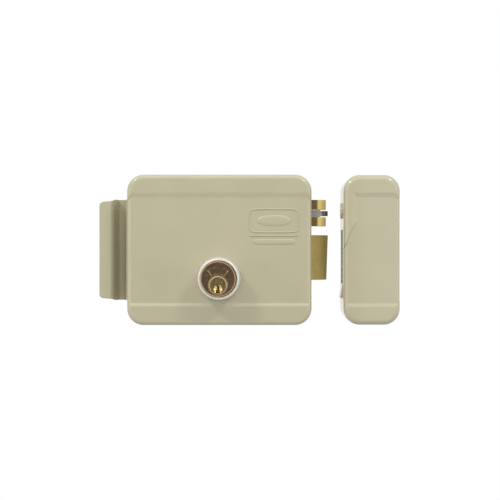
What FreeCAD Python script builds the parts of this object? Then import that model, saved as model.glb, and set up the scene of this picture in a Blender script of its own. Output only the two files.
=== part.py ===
import FreeCAD, Part
import math
import os

# Electric rim lock for a gate: a pressed case with a coil, a latch bolt, a cocking
# plunger with a trigger blade, a key cylinder and a pull, and its strike box.
# Millimetres. X runs along the lock to the right, Z up, Y into the gate. The gate's
# face is the plane Y = 0, so everything stands at negative Y. The origin is the middle
# of the lock's four gate screws.

# Lock case
CASE_WIDTH = 136.0
CASE_HEIGHT = 111.0
CASE_DEPTH = 38.0
CASE_CORNER = 12.3
EDGE_ROUND = 3.5
COVER_WALL = 1.5
PLATE = 2.0
RIM_LIFT = 0.5
BAND_HEIGHT = 15.3
BAND_STEP = 1.0
TOP_SLOPE = 2.6
TOP_SLOPE_CORNER = 4.8
LOW_SLOPE = 1.9
LOW_SLOPE_CORNER = 2.6
PLATE_GAP = 0.2
TAB_WIDTH = 16.0
TAB_REACH = 14.0
TAB_PLACE = 40.0
GATE_HOLE = 2.75
GATE_INSET_X = 14.0
GATE_INSET_Z = 9.5

# Fits
RUNNING = 0.05
SLIDING = 0.35
LOOSE = 0.3
OPENING_GAP = 0.4
BAND_BITE = 0.01
SAME_PLACE = 1e-6

# Screws and rivets
M3_RADIUS = 1.5
M3_HEAD = 2.9
M3_LENGTH = 7.0
M4_RADIUS = 2.0
M4_HEAD = 3.6
M4_HEAD_HEIGHT = 2.2
M4_DRIVE = 1.3
DRIVE_RADIUS = 1.0
DRIVE_DEPTH = 1.0
RIVET_RADIUS = 2.0
RIVET_HEAD = 3.8
RIVET_HEAD_HEIGHT = 1.2
RIVET_GRIP = 4.0
LOW_HEAD = 3.2
LOW_HEAD_TOP = 2.7
LOW_HEAD_HEIGHT = 0.6

# Pull
PULL_SHEET = 2.0
PULL_ROOT_HALF = 38.0
PULL_BEND_HALF = 36.8
PULL_LIP_HALF = 35.8
PULL_REACH = 22.0
PULL_LIP_HEIGHT = 22.0
PULL_LIP_WIDTH = 9.8
PULL_FLOOR = 9.2
PULL_ROOT_BEND = 5.8
PULL_FOOT_BEND = 1.2
PULL_LIP_BEND = 3.0
PULL_CORNER = 3.0
PULL_EDGE = 0.6
PULL_LEG = 20.0
PULL_RIVET_PLACE = 25.0
RIVET_TAB_REACH = 21.0
RIVET_TAB_HALF = 34.0
RIVET_DEPTH = 13.0

# Latch bolt and its tail
SLIDE_DEPTH = 19.0
BOLT_THICK = 14.0
BOLT_TOP = 11.0
BOLT_BOTTOM = -22.4
BOLT_REACH = 13.2
BOLT_TIP_SLANT = 1.2
BOLT_TRAVEL = 13.0
BOLT_BLOCK = 31.2
BOLT_TIP_FLAT = 2.4
BOLT_BEVEL_START = 0.3
SHOULDER = 1.5
STOP_GAP = 0.3
TAIL_THICK = 3.0
TAIL_TOP = -1.0
TAIL_BOTTOM = -13.0
TAIL_NOTCH = -6.0
TAIL_FOOT_TOP = 2.5
TAIL_FOOT_BOTTOM = -15.0
TAIL_STEP = 2.0
TAIL_BEND = 1.2
LUG_TOP = -4.0
LUG_OVERLAP = 1.05
TAIL_PIN_X = 20.5
TAIL_PIN_Z = -7.0
TAIL_PIN_RADIUS = 2.0
TAIL_PIN_PROUD = 1.5
TAIL_COLLAR = 3.2

# Cocking plunger and trigger blade
PLUNGER_THICK = 13.4
PLUNGER_TOP = 37.2
PLUNGER_BOTTOM = 17.6
PLUNGER_REACH = 11.4
PLUNGER_SLOT_TOP = 30.0
PLUNGER_SLOT_BOTTOM = 24.3
PLUNGER_WEB = 3.3
PLUNGER_NOSE = 6.6
BLADE_THICK = 3.7
BLADE_REACH = 12.9
BLADE_WIDTH = 8.3
BLADE_INSET = 1.3
BLADE_NOSE = 4.0
BLADE_ROOT_REACH = 7.2
BLADE_ROOT_ROUND = 0.5
BLADE_LEG = 7.0
BLADE_PIN_INSET = 3.0
BLADE_LEG_GAP = 0.8
TRIGGER_TRAVEL = 12.5
TRIGGER_PIN_RADIUS = 1.5

# Slide frame
FRAME_SHEET = 2.0
FRAME_BEND = 1.5
FRAME_FRONT_GAP = 3.5
FRAME_LENGTH = 36.0
FRAME_RISE = 28.0
FRAME_TOP = 41.5
FRAME_BOTTOM = -28.0
FRAME_SCREW_INSET = 4.0
FRAME_SCREW_X = 8.0

# Springs: mean coil radius, wire radius, turns
BOLT_SPRING = (4.4, 0.6, 6)
PLUNGER_SPRING = (2.2, 0.45, 6)
TRIGGER_SPRING = (1.9, 0.4, 7)
BOLT_SPRING_POCKET = 3.0

# Release lever
LEVER_X = 14.0
LEVER_INSET = 9.5
LEVER_SHEET = 3.0
LEVER_BACK = 14.5
LEVER_EYE = 5.5
LEVER_FOOT = 5.0
LEVER_WINDOW_HALF = 2.0
LEVER_WINDOW_CORNER = 1.9
POST_RADIUS = 3.0
POST_SHOULDER = 4.5
POST_PROUD = 1.2
CLIP_SHEET = 0.8
CLIP_RADIUS = 4.6
CLIP_GROOVE = 0.6
CLIP_MOUTH = 0.6

# Coil and armature
COIL_INSET = 30.5
COIL_AXIS_DEPTH = 16.0
COIL_LEFT = -60.0
COIL_LENGTH = 46.0
COIL_SHEET = 2.0
COIL_HALF = 11.4
BOBBIN_FLANGE = 1.6
BOBBIN_TUBE = 6.6
WINDING_RADIUS = 10.9
CORE_RADIUS = 5.0
CORE_GAP = 0.4
CORE_LENGTH = 27.0
CORE_STEM = 4.0
CORE_RIVET = 0.8
ARMATURE_AIR = 6.0
COIL_SCREW_SPREAD = 16.0
COIL_EAR = 5.6
LINK_PIN_RADIUS = 1.5
LINK_SLACK = 0.5
FORK_EAR = 2.0
FORK_HALF = 4.2
FORK_LENGTH = 12.0
FORK_MOUTH = 7.5

# Hold-back catch
CATCH_Z = 4.5
CATCH_SHEET = 2.4
CATCH_LIFT = 1.2
CATCH_EYE = 4.5
CATCH_ARM = 3.2
CATCH_POST = 2.5
CATCH_TOOTH = 1.8
CATCH_TOOTH_X = 35.0
CATCH_TOOTH_Z = -3.5
CATCH_SLOT_SLACK = 0.35

# Key cylinder
CYLINDER_X = -0.5
CYLINDER_RADIUS = 12.7
CYLINDER_PROUD = 20.0
CYLINDER_BACK = 20.0
CYLINDER_CHAMFER = 0.9
COLLAR_BASE = 15.9
COLLAR_TOP = 14.9
COLLAR_HEIGHT = 16.0
COLLAR_ROUND = 0.9
COLLAR_FOOT_ROUND = 0.35
COLLAR_GAP = 0.5
COLLAR_SHIFT = 0.3
COLLAR_LIFT = 3.3
RECESS_INNER = 7.8
RECESS_OUTER = 13.0
RECESS_HALF_ANGLE = 36.0
RECESS_DEPTH = 0.6
RECESS_BEVEL = 0.4
PLUG_DROP = 4.4
PLUG_RADIUS = 6.5
PLUG_CHAMFER = 0.6
KEYWAY_WIDTH = 1.0
KEYWAY_TOP = 0.9
KEYWAY_KNEE = 1.0
KEYWAY_FOOT_TOP = 3.3
KEYWAY_BOTTOM = 5.9
KEYWAY_FOOT_HALF = 1.5
KEYWAY_DEPTH = 24.0
DISH_DROP = 2.9
DISH_RADIUS = 3.0
DISH_FLOOR = 1.0
DISH_DEPTH = 1.4
CLIP_PLATE = 2.0
CLIP_PLATE_RIM = 5.0
CYLINDER_GROOVE = 1.3
CAM_SHEET = 3.5
CAM_HUB = 4.5
CAM_FINGER = 13.0
CAM_TIP = 2.2
CAM_NECK = 1.2
CAM_STANDOFF = 3.0
CAM_SCREW_HEAD = 1.6
LUG_GAP = 0.42
OUTSIDE_HOLE = 13.5

# Terminal block, leads and wire inlet
TERMINAL_X = -44.0
TERMINAL_TOP = 0.0
TERMINAL_WIDTH = 24.0
TERMINAL_HEIGHT = 14.0
TERMINAL_DEPTH = 12.0
TERMINAL_PITCH = 12.0
TERMINAL_ROUND = 0.8
WELL_RADIUS = 2.6
WELL_DEPTH = 6.0
HEAD_RECESS = 1.0
WIRE_HOLE = 1.6
CLAMP_RADIUS = 2.5
CLAMP_LENGTH = 3.5
CLAMP_SLOT = 0.8
LEAD_RADIUS = 0.7
LEAD_SPREAD = 14.0
LEAD_HIGH_BEND = 0.65
LEAD_LOW_BEND = 0.3
LEAD_ENTRY = 4.0
BEND_SHARE = 0.45
INLET_X = -46.0
INLET_Z = -34.0
INLET_BORE = 4.5
INLET_NECK = 6.5
INLET_FLANGE = 8.5

# Strike box
STRIKE_GAP = 23.5
STRIKE_WIDTH = 41.6
STRIKE_HEIGHT = 110.6
STRIKE_CORNER = 12.0
STRIKE_EDGE = 4.2
STRIKE_WALL = 2.0
STRIKE_TOP_BAND = 14.9
STRIKE_LOW_BAND = 14.8
STRIKE_TOP_SLOPE = 3.2
STRIKE_TOP_CORNER = 2.0
STRIKE_LOW_SLOPE = 2.4
STRIKE_LOW_CORNER = 4.0
STRIP_WIDTH = 8.6
STRIP_END_X = 4.6
STRIP_END_Z = 12.0
STRIP_END_LEAN = 62.0
STRIP_END_SLOPE = 1.6
STRIP_END_CORNER = 0.5
WINDOW_TOP = 15.0
WINDOW_BOTTOM = -25.3
WINDOW_HALF_DEPTH = 9.5
KEEPER_SHEET = 2.5
KEEPER_TOP = 22.0
KEEPER_BOTTOM = -32.0
KEEPER_RISE = 31.0
KEEPER_FOOT = 16.0
KEEPER_MARGIN = 1.0
KEEPER_SCREW_INSET = 7.6
KEEPER_SCREW_EDGE = 5.6
BUFFER_RADIUS = 6.0
BUFFER_HEIGHT = 1.5
BUFFER_ROUND = 1.1
BUFFER_Z = 29.1
PAD_TOP = -25.6
PAD_HEIGHT = 10.5
PAD_PROUD_TOP = 0.3
PAD_PROUD = 1.9
PAD_ROUND = 0.8
PAD_HALF_DEPTH = 7.0
STRIKE_SPACING_X = 16.0
STRIKE_SPACING_Z = 88.0

# Places worked out from the sizes above
HALF_WIDTH = CASE_WIDTH / 2
HALF_HEIGHT = CASE_HEIGHT / 2
FRONT = -CASE_DEPTH
PANEL = FRONT + BAND_STEP
PLATE_TOP = -PLATE
INNER_X = HALF_WIDTH - COVER_WALL
INNER_Z = HALF_HEIGHT - COVER_WALL
GATE_SPACING_X = CASE_WIDTH - 2 * GATE_INSET_X
GATE_SPACING_Z = CASE_HEIGHT - 2 * GATE_INSET_Z
LEVER_Z = HALF_HEIGHT - LEVER_INSET
COIL_AXIS_Z = HALF_HEIGHT - COIL_INSET
CYLINDER_Z = BAND_HEIGHT - HALF_HEIGHT + COLLAR_LIFT + COLLAR_BASE
SLIDE_Y = -SLIDE_DEPTH
BOLT_FRONT = SLIDE_Y - BOLT_THICK / 2
BOLT_BACK = SLIDE_Y + BOLT_THICK / 2
BOLT_TIP = HALF_WIDTH + BOLT_REACH
BOLT_END = BOLT_TIP - BOLT_BLOCK
BOLT_MID_Z = (BOLT_TOP + BOLT_BOTTOM) / 2
TAIL_BACK = BOLT_BACK + TAIL_THICK
PLUNGER_FRONT = SLIDE_Y - PLUNGER_THICK / 2
PLUNGER_BACK = SLIDE_Y + PLUNGER_THICK / 2
PLUNGER_TIP = HALF_WIDTH + PLUNGER_REACH
BLADE_MID_Z = (PLUNGER_SLOT_TOP + PLUNGER_SLOT_BOTTOM) / 2
BLADE_ROOT_HALF = (PLUNGER_SLOT_TOP - PLUNGER_SLOT_BOTTOM) / 2 - SLIDING
BLADE_TIP = HALF_WIDTH + BLADE_REACH
BLADE_BACK = PLUNGER_BACK - BLADE_INSET
BLADE_FRONT = BLADE_BACK - BLADE_WIDTH
FRAME_RIGHT = HALF_WIDTH - COVER_WALL - FRAME_FRONT_GAP
FRAME_LEFT = FRAME_RIGHT - FRAME_LENGTH
FRAME_FACE = FRAME_RIGHT - FRAME_SHEET
SEAT_X = FRAME_LEFT + FRAME_SHEET
FOOT_TOP = PLATE_TOP - FRAME_SHEET
STOP_X = FRAME_FACE - STOP_GAP
BLADE_END = STOP_X - BLADE_LEG
TRIGGER_PIN_X = BLADE_END + BLADE_PIN_INSET
CATCH_X = TRIGGER_PIN_X - TRIGGER_TRAVEL / 2
CATCH_BACK = FOOT_TOP - CATCH_LIFT
CATCH_FRONT = CATCH_BACK - CATCH_SHEET
LEG_END = CATCH_FRONT - BLADE_LEG_GAP
LEVER_ARM = LEVER_Z - TAIL_PIN_Z
LEVER_LEAN = math.degrees(math.asin((TAIL_PIN_X - LEVER_X) / LEVER_ARM))
LINK_ARM = LEVER_Z - COIL_AXIS_Z
LINK_X = LEVER_X + (TAIL_PIN_X - LEVER_X) * LINK_ARM / LEVER_ARM
COIL_Y = -COIL_AXIS_DEPTH
COIL_RIGHT = COIL_LEFT + COIL_LENGTH
PLUG_Z = CYLINDER_Z - PLUG_DROP
CYLINDER_FACE = PANEL - CYLINDER_PROUD
CAM_BACK = -CYLINDER_BACK + CAM_STANDOFF + CAM_SHEET
CAM_LEAN = math.degrees(math.asin(BOLT_TRAVEL / 2 / CAM_FINGER))
LUG_FACE = CYLINDER_X + BOLT_TRAVEL / 2 - CAM_TIP - LUG_GAP
CATCH_LEAN = math.degrees(math.atan((TRIGGER_PIN_X - CATCH_X) / (BLADE_MID_Z - CATCH_Z)))
STRIKE_LEFT = HALF_WIDTH + STRIKE_GAP
STRIKE_X = STRIKE_LEFT + STRIKE_WIDTH / 2
STRIKE_HALF = STRIKE_HEIGHT / 2
STRIKE_INNER_X = STRIKE_LEFT + STRIKE_WALL

ALONG_Y = FreeCAD.Vector(0, 1, 0)
ALONG_Z = FreeCAD.Vector(0, 0, 1)


def at(x, y, z):
    """Point or direction."""
    return FreeCAD.Vector(x, y, z)


def block(x_range, y_range, z_range):
    """Box between the two values given along each axis."""
    x_low, x_high = sorted(x_range)
    y_low, y_high = sorted(y_range)
    z_low, z_high = sorted(z_range)
    return Part.makeBox(x_high - x_low, y_high - y_low, z_high - z_low, at(x_low, y_low, z_low))


def rod(radius, start, end):
    """Round bar between two points."""
    way = end.sub(start)
    return Part.makeCylinder(radius, way.Length, start, way)


def cone(start_radius, end_radius, start, end):
    """Tapered round bar between two points."""
    way = end.sub(start)
    return Part.makeCone(start_radius, end_radius, way.Length, start, way)


def rod_in_y(radius, x, z, y_start, y_end):
    """Round bar that stands on the gate's face."""
    return rod(radius, at(x, y_start, z), at(x, y_end, z))


def rounded_face(corners, radii):
    """Flat face through the corners, each rounded by its own radius."""
    count = len(corners)
    starts = []
    ends = []
    edges = []
    for index in range(count):
        corner = corners[index]
        before = corner.sub(corners[index - 1])
        after = corners[(index + 1) % count].sub(corner)
        before.normalize()
        after.normalize()
        turn = before.getAngle(after)
        radius = radii[index]
        if radius == 0:
            starts.append(corner)
            ends.append(corner)
            continue
        reach = radius * math.tan(turn / 2)
        start = corner.sub(before * reach)
        end = corner.add(after * reach)
        inward = after.sub(before)
        inward.normalize()
        middle = corner.add(inward * (radius / math.cos(turn / 2) - radius))
        edges.append(Part.Arc(start, middle, end).toShape())
        starts.append(start)
        ends.append(end)
    for index in range(count):
        start = ends[index]
        end = starts[(index + 1) % count]
        if start.distanceToPoint(end) > SAME_PLACE:
            edges.append(Part.LineSegment(start, end).toShape())
    return Part.Face(Part.Wire(Part.__sortEdges__(edges)))


def plate_in_xz(points, radii, y_start, y_end):
    """Plate parallel to the gate, from its outline as (x, z) points."""
    corners = [at(x, y_start, z) for x, z in points]
    return rounded_face(corners, radii).extrude(at(0, y_end - y_start, 0))


def bar_in_xy(points, radii, z_start, z_end):
    """Bar along Z, from its section as (x, y) points."""
    corners = [at(x, y, z_start) for x, y in points]
    return rounded_face(corners, radii).extrude(at(0, 0, z_end - z_start))


def bent_sheet(path, bends, thickness, z_start, z_end):
    """Folded sheet: its middle line as (x, y) points, carried along Z."""
    corners = [at(x, y, 0) for x, y in path]
    ways = []
    for index in range(len(corners) - 1):
        way = corners[index + 1].sub(corners[index])
        way.normalize()
        ways.append(way)
    sides = []
    for side in (1, -1):
        line = []
        for index, corner in enumerate(corners):
            before = ways[max(index - 1, 0)]
            after = ways[min(index, len(ways) - 1)]
            out = ALONG_Z.cross(before).add(ALONG_Z.cross(after))
            out.normalize()
            reach = thickness / 2 / out.dot(ALONG_Z.cross(before))
            point = corner.add(out * (side * reach))
            turn = before.cross(after).z
            radius = 0
            if 0 < index < len(corners) - 1:
                inner = turn * side > 0
                radius = bends[index - 1] + (0 if inner else thickness)
            line.append((point, radius))
        sides.append(line)
    loop = sides[0] + sides[1][::-1]
    points = [(point.x, point.y) for point, radius in loop]
    return bar_in_xy(points, [radius for point, radius in loop], z_start, z_end)


def edges_at_depth(solid, y):
    """Edges that lie in one plane parallel to the gate."""
    return [edge for edge in solid.Edges if abs(edge.CenterOfMass.y - y) < SAME_PLACE]


def edges_at_side(solid, x):
    """Edges that lie in one plane across the lock's length."""
    return [edge for edge in solid.Edges if abs(edge.CenterOfMass.x - x) < SAME_PLACE]


def rounded_box(x_range, z_range, corner, front, back, edge):
    """Box with rounded corners in front view and a rounded front edge all round."""
    x_low, x_high = x_range
    z_low, z_high = z_range
    points = [(x_low, z_low), (x_high, z_low), (x_high, z_high), (x_low, z_high)]
    solid = plate_in_xz(points, [corner] * 4, back, front)
    return solid.makeFillet(edge, edges_at_depth(solid, front))


def step_bar(place, lean, slope, corner, crest, foot):
    """Bar whose one long side is the soft step up to a raised band.

    The side is a straight slope, rounded at its foot and at its crest. Its middle passes
    through the place, an (x, z) point, and the band lies above it. Lean turns the bar
    about that point, anticlockwise in front view.
    """
    half = slope / 2
    reach = corner * math.tan(math.atan2(foot - crest, slope) / 2)
    section = [
        (-half - reach, foot),
        (-half, foot),
        (half, crest),
        (half + reach, crest),
        (half + reach, crest - CASE_DEPTH),
        (CASE_WIDTH, crest - CASE_DEPTH),
        (CASE_WIDTH, 0),
        (-half - reach, 0),
    ]
    corners = [at(-CASE_WIDTH, y, z) for z, y in section]
    face = rounded_face(corners, [0, corner, corner, 0, 0, 0, 0, 0])
    bar = face.extrude(at(2 * CASE_WIDTH, 0, 0))
    bar.rotate(at(0, 0, 0), ALONG_Y, -lean)
    bar.translate(at(place[0], 0, place[1]))
    return bar


def banded_shell(x_range, half_height, corner, edge, wall, bands):
    """Pressed cover: a raised band above and below a slightly sunk middle, open behind."""

    def solid(inset, deeper):
        x_limits = (x_range[0] + inset, x_range[1] - inset)
        z_limits = (inset - half_height, half_height - inset)
        back = deeper - RIM_LIFT
        crest = FRONT + inset
        foot = PANEL + inset
        low = rounded_box(x_limits, z_limits, corner - inset, foot, back, edge - inset)
        high = rounded_box(x_limits, z_limits, corner - inset, crest, back, edge - inset)
        for band in bands(crest, foot + BAND_BITE):
            low = low.fuse(high.common(band))
        return low

    return solid(0, 0).cut(solid(wall, 1)).removeSplitter()


def case_bands(crest, foot):
    """The two bands of the lock's cover, right across it."""
    edge = HALF_HEIGHT - BAND_HEIGHT
    return [
        step_bar((0, edge), 0, TOP_SLOPE, TOP_SLOPE_CORNER, crest, foot),
        step_bar((0, -edge), 180, LOW_SLOPE, LOW_SLOPE_CORNER, crest, foot),
    ]


def strike_bands(crest, foot):
    """The bands of the strike's cover, and the strip that runs down its lock side."""
    top = (STRIKE_X, STRIKE_HALF - STRIKE_TOP_BAND)
    low = (STRIKE_X, STRIKE_LOW_BAND - STRIKE_HALF)
    side = (STRIKE_LEFT + STRIP_WIDTH, 0)
    tip = (STRIKE_LEFT + STRIP_END_X, STRIP_END_Z)
    beside = step_bar(side, 90, TOP_SLOPE, TOP_SLOPE_CORNER, crest, foot)
    above = step_bar(tip, STRIP_END_LEAN, STRIP_END_SLOPE, STRIP_END_CORNER, crest, foot)
    return [
        step_bar(top, 0, STRIKE_TOP_SLOPE, STRIKE_TOP_CORNER, crest, foot),
        step_bar(low, 180, STRIKE_LOW_SLOPE, STRIKE_LOW_CORNER, crest, foot),
        beside.common(above),
    ]


def tapped_tab(x_centre, side, z_face):
    """Tab folded forward from a base plate, against a cover's top or bottom wall."""
    half = TAB_WIDTH / 2
    tab = block((x_centre - half, x_centre + half), (0, -TAB_REACH), (side * (z_face - PLATE), side * z_face))
    corners = [edge for edge in tab.Edges if edge_faces_front(edge, -TAB_REACH)]
    tab = tab.makeFillet(PLATE, corners)
    hole = cover_screw_axis(x_centre, side, z_face, 2 * PLATE)
    return tab, rod(M3_RADIUS + RUNNING, hole[0], hole[1])


def edge_faces_front(edge, y):
    """True for an edge along Z at the given depth."""
    low, high = [vertex.Point for vertex in edge.Vertexes]
    in_plane = max(abs(low.y - y), abs(high.y - y)) < SAME_PLACE
    return in_plane and abs(low.x - high.x) < SAME_PLACE


def cover_screw_axis(x_centre, side, z_face, length):
    """Start and end of a cover screw's line, from outside the wall inwards."""
    y = -(TAB_REACH + PLATE) / 2
    outer = side * z_face
    return at(x_centre, y, outer), at(x_centre, y, outer - side * length)


def countersunk_screw(x_centre, side, z_wall, wall):
    """Flush screw through a cover's wall into the tab behind it."""
    start, end = cover_screw_axis(x_centre, side, z_wall, M3_LENGTH)
    neck = at(start.x, start.y, start.z - side * wall)
    body = cone(M3_HEAD, M3_RADIUS, start, neck).fuse(rod(M3_RADIUS, neck, end))
    socket = rod(DRIVE_RADIUS, start, at(start.x, start.y, start.z - side * DRIVE_DEPTH))
    return body.cut(socket)


def countersink(x_centre, side, z_wall, wall):
    """Hole in a cover's wall for its flush screw."""
    start, end = cover_screw_axis(x_centre, side, z_wall, wall)
    return cone(M3_HEAD + RUNNING, M3_RADIUS + RUNNING, start, end)


def pan_screw(x, z, seat, depth):
    """Screw with a low round head, from its seat back towards the gate."""
    head_top = seat - M4_HEAD_HEIGHT
    head = rod_in_y(M4_HEAD, x, z, seat, head_top)
    head = head.makeFillet(M4_HEAD_HEIGHT / 2, edges_at_depth(head, head_top))
    socket = rod_in_y(M4_DRIVE, x, z, head_top, head_top + DRIVE_DEPTH)
    return head.fuse(rod_in_y(M4_RADIUS, x, z, seat, seat + depth)).cut(socket)


def pan_hole(x, z, y_start, y_end):
    """Hole for a pan screw's shank."""
    return rod_in_y(M4_RADIUS + RUNNING, x, z, y_start, y_end)


def rectangle_of(spacing_x, spacing_z, centre_x):
    """Four places of a rectangular screw pattern."""
    return [
        (centre_x + right * spacing_x / 2, up * spacing_z / 2)
        for right in (-1, 1)
        for up in (-1, 1)
    ]


def frame_screw_places():
    """The slide frame's four screws, near its corners."""
    return [
        (x, z)
        for x in (FRAME_LEFT + FRAME_SCREW_X, FRAME_FACE - FRAME_SCREW_X)
        for z in (FRAME_BOTTOM + FRAME_SCREW_INSET, FRAME_TOP - FRAME_SCREW_INSET)
    ]


def coil_screw_places():
    """The coil bracket's two screws, above and below the winding."""
    middle = (COIL_LEFT + COIL_RIGHT) / 2
    return [(middle, COIL_AXIS_Z + side * COIL_SCREW_SPREAD) for side in (-1, 1)]


def rivet_places():
    """Heights of the pull's three rivets."""
    return [-PULL_RIVET_PLACE, 0, PULL_RIVET_PLACE]


def base_plate():
    """Back plate of the lock with tabs for the cover and the pull."""
    x_edge = INNER_X - PLATE_GAP
    z_edge = INNER_Z - PLATE_GAP
    points = [(-x_edge, -z_edge), (x_edge, -z_edge), (x_edge, z_edge), (-x_edge, z_edge)]
    solid = plate_in_xz(points, [CASE_CORNER - COVER_WALL] * 4, 0, PLATE_TOP)
    holes = []
    for side in (-1, 1):
        for x in (-TAB_PLACE, TAB_PLACE):
            tab, hole = tapped_tab(x, side, INNER_Z)
            solid = solid.fuse(tab)
            holes.append(hole)
    rivet_tab = block((-INNER_X, PLATE - INNER_X), (0, -RIVET_TAB_REACH), (-RIVET_TAB_HALF, RIVET_TAB_HALF))
    solid = solid.fuse(rivet_tab)
    for z in rivet_places():
        start = at(-HALF_WIDTH, -RIVET_DEPTH, z)
        holes.append(rod(RIVET_RADIUS + RUNNING, start, at(PLATE * 2 - INNER_X, -RIVET_DEPTH, z)))
    for x, z in rectangle_of(GATE_SPACING_X, GATE_SPACING_Z, 0):
        holes.append(rod_in_y(GATE_HOLE, x, z, PLATE, -2 * PLATE))
    holes.append(rod_in_y(OUTSIDE_HOLE, CYLINDER_X, CYLINDER_Z, PLATE, -2 * PLATE))
    holes.append(rod_in_y(INLET_NECK, INLET_X, INLET_Z, PLATE, -2 * PLATE))
    holes.append(pan_hole(TERMINAL_X, TERMINAL_TOP - TERMINAL_HEIGHT / 2, PLATE, -2 * PLATE))
    holes.append(rod_in_y(POST_RADIUS + RUNNING, LEVER_X, LEVER_Z, PLATE, -2 * PLATE))
    for x, z in frame_screw_places() + coil_screw_places():
        holes.append(pan_hole(x, z, PLATE, -2 * PLATE))
    return solid.cut(Part.makeCompound(holes)).removeSplitter()


def cover():
    """Pressed front cover with its windows and countersunk screw holes."""
    across = (-HALF_WIDTH, HALF_WIDTH)
    shell = banded_shell(across, HALF_HEIGHT, CASE_CORNER, EDGE_ROUND, COVER_WALL, case_bands)
    right = (INNER_X - COVER_WALL, HALF_WIDTH + COVER_WALL)
    gap = OPENING_GAP
    cuts = [
        block(right, (BOLT_FRONT - gap, BOLT_BACK + gap), (BOLT_BOTTOM - gap, BOLT_TOP + gap)),
        block(right, (PLUNGER_FRONT - gap, PLUNGER_BACK + gap), (PLUNGER_BOTTOM - gap, PLUNGER_TOP + gap)),
        rod_in_y(CYLINDER_RADIUS + RUNNING, CYLINDER_X, CYLINDER_Z, 2 * FRONT, PANEL + 2 * COVER_WALL),
    ]
    for side in (-1, 1):
        for x in (-TAB_PLACE, TAB_PLACE):
            cuts.append(countersink(x, side, HALF_HEIGHT, COVER_WALL))
    for z in rivet_places():
        start = at(-HALF_WIDTH - COVER_WALL, -RIVET_DEPTH, z)
        cuts.append(rod(RIVET_RADIUS + RUNNING, start, at(COVER_WALL - INNER_X, -RIVET_DEPTH, z)))
    return shell.cut(Part.makeCompound(cuts))


def cover_screws():
    """Four flush screws that hold the cover to the base plate's tabs."""
    return [
        countersunk_screw(x, side, HALF_HEIGHT, COVER_WALL)
        for side in (-1, 1)
        for x in (-TAB_PLACE, TAB_PLACE)
    ]


def pull_handle():
    """Folded sheet: a leg on the case's side, a hollow by the gate and a raised lip."""
    half = PULL_SHEET / 2
    leg = -HALF_WIDTH - half
    floor = -half - RIM_LIFT
    lip_end = -HALF_WIDTH - PULL_REACH
    path = [
        (leg, -PULL_LEG),
        (leg, floor),
        (leg - PULL_FLOOR, floor),
        (lip_end + PULL_LIP_WIDTH, half - PULL_LIP_HEIGHT),
        (lip_end, half - PULL_LIP_HEIGHT),
    ]
    bends = [PULL_ROOT_BEND, PULL_FOOT_BEND, PULL_LIP_BEND]
    solid = bent_sheet(path, bends, PULL_SHEET, -PULL_ROOT_HALF, PULL_ROOT_HALF)
    upper = [
        (-HALF_WIDTH, PULL_ROOT_HALF),
        (leg - PULL_FLOOR, PULL_ROOT_HALF),
        (lip_end + PULL_LIP_WIDTH, PULL_BEND_HALF),
        (lip_end, PULL_LIP_HALF),
    ]
    outline = upper + [(x, -z) for x, z in reversed(upper)]
    radii = [0, 0, 0, PULL_CORNER, PULL_CORNER, 0, 0, 0]
    solid = solid.common(plate_in_xz(outline, radii, 0, FRONT))
    rim = []
    for edge in solid.Edges:
        middle = edge.CenterOfMass
        on_lip = max(abs(middle.x - lip_end), abs(middle.y + PULL_LIP_HEIGHT)) < SAME_PLACE
        on_leg = max(abs(middle.x - leg + half), abs(middle.y + PULL_LEG)) < SAME_PLACE
        if on_lip or on_leg:
            rim.append(edge)
    solid = solid.makeFillet(PULL_EDGE, rim)
    holes = [sunk_rivet(z, RUNNING) for z in rivet_places()]
    return solid.cut(Part.makeCompound(holes))


def sunk_rivet(z, gap):
    """Shank and flush outer head of a rivet of the pull, or with a gap their hole."""
    outer = at(-HALF_WIDTH - PULL_SHEET, -RIVET_DEPTH, z)
    seat = at(-HALF_WIDTH, -RIVET_DEPTH, z)
    inner = at(PLATE - INNER_X, -RIVET_DEPTH, z)
    head = cone(RIVET_HEAD + gap, RIVET_RADIUS + gap, outer, seat)
    return head.fuse(rod(RIVET_RADIUS + gap, seat, inner))


def handle_rivets():
    """Three rivets through the pull's leg, the cover's side and the plate's tab."""
    rivets = []
    for z in rivet_places():
        inner = at(PLATE - INNER_X, -RIVET_DEPTH, z)
        end = at(PLATE - INNER_X + RIVET_HEAD_HEIGHT, -RIVET_DEPTH, z)
        rivets.append(sunk_rivet(z, 0).fuse(cone(RIVET_HEAD, RIVET_HEAD / 2, inner, end)))
    return rivets


def slide_frame():
    """U of folded sheet that guides the bolt, the plunger and the blade."""
    half = FRAME_SHEET / 2
    left = FRAME_LEFT + half
    right = FRAME_RIGHT - half
    floor = PLATE_TOP - half
    path = [(left, PLATE_TOP - FRAME_RISE), (left, floor), (right, floor), (right, PLATE_TOP - FRAME_RISE)]
    solid = bent_sheet(path, [FRAME_BEND] * 2, FRAME_SHEET, FRAME_BOTTOM, FRAME_TOP)
    front = (FRAME_FACE - FRAME_SHEET, FRAME_RIGHT + FRAME_SHEET)
    rear = (FRAME_LEFT - FRAME_SHEET, SEAT_X + FRAME_SHEET)
    gap = SLIDING
    cuts = [
        block(front, (BOLT_FRONT - gap, BOLT_BACK + gap), (BOLT_BOTTOM - gap, BOLT_TOP + gap)),
        block(front, (PLUNGER_FRONT - gap, PLUNGER_BACK + gap), (PLUNGER_BOTTOM - gap, PLUNGER_TOP + gap)),
        block(rear, (BOLT_BACK - gap, TAIL_BACK + gap), (TAIL_BOTTOM - gap, TAIL_TOP + gap)),
        rod_in_y(CATCH_POST + RUNNING, CATCH_X, CATCH_Z, 0, -CASE_DEPTH / 2),
    ]
    for x, z in frame_screw_places():
        cuts.append(pan_hole(x, z, 0, FOOT_TOP - 1))
    return solid.cut(Part.makeCompound(cuts))


def frame_screws():
    """Four screws that hold the slide frame to the base plate."""
    return [pan_screw(x, z, FOOT_TOP, FRAME_SHEET + PLATE) for x, z in frame_screw_places()]


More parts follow.
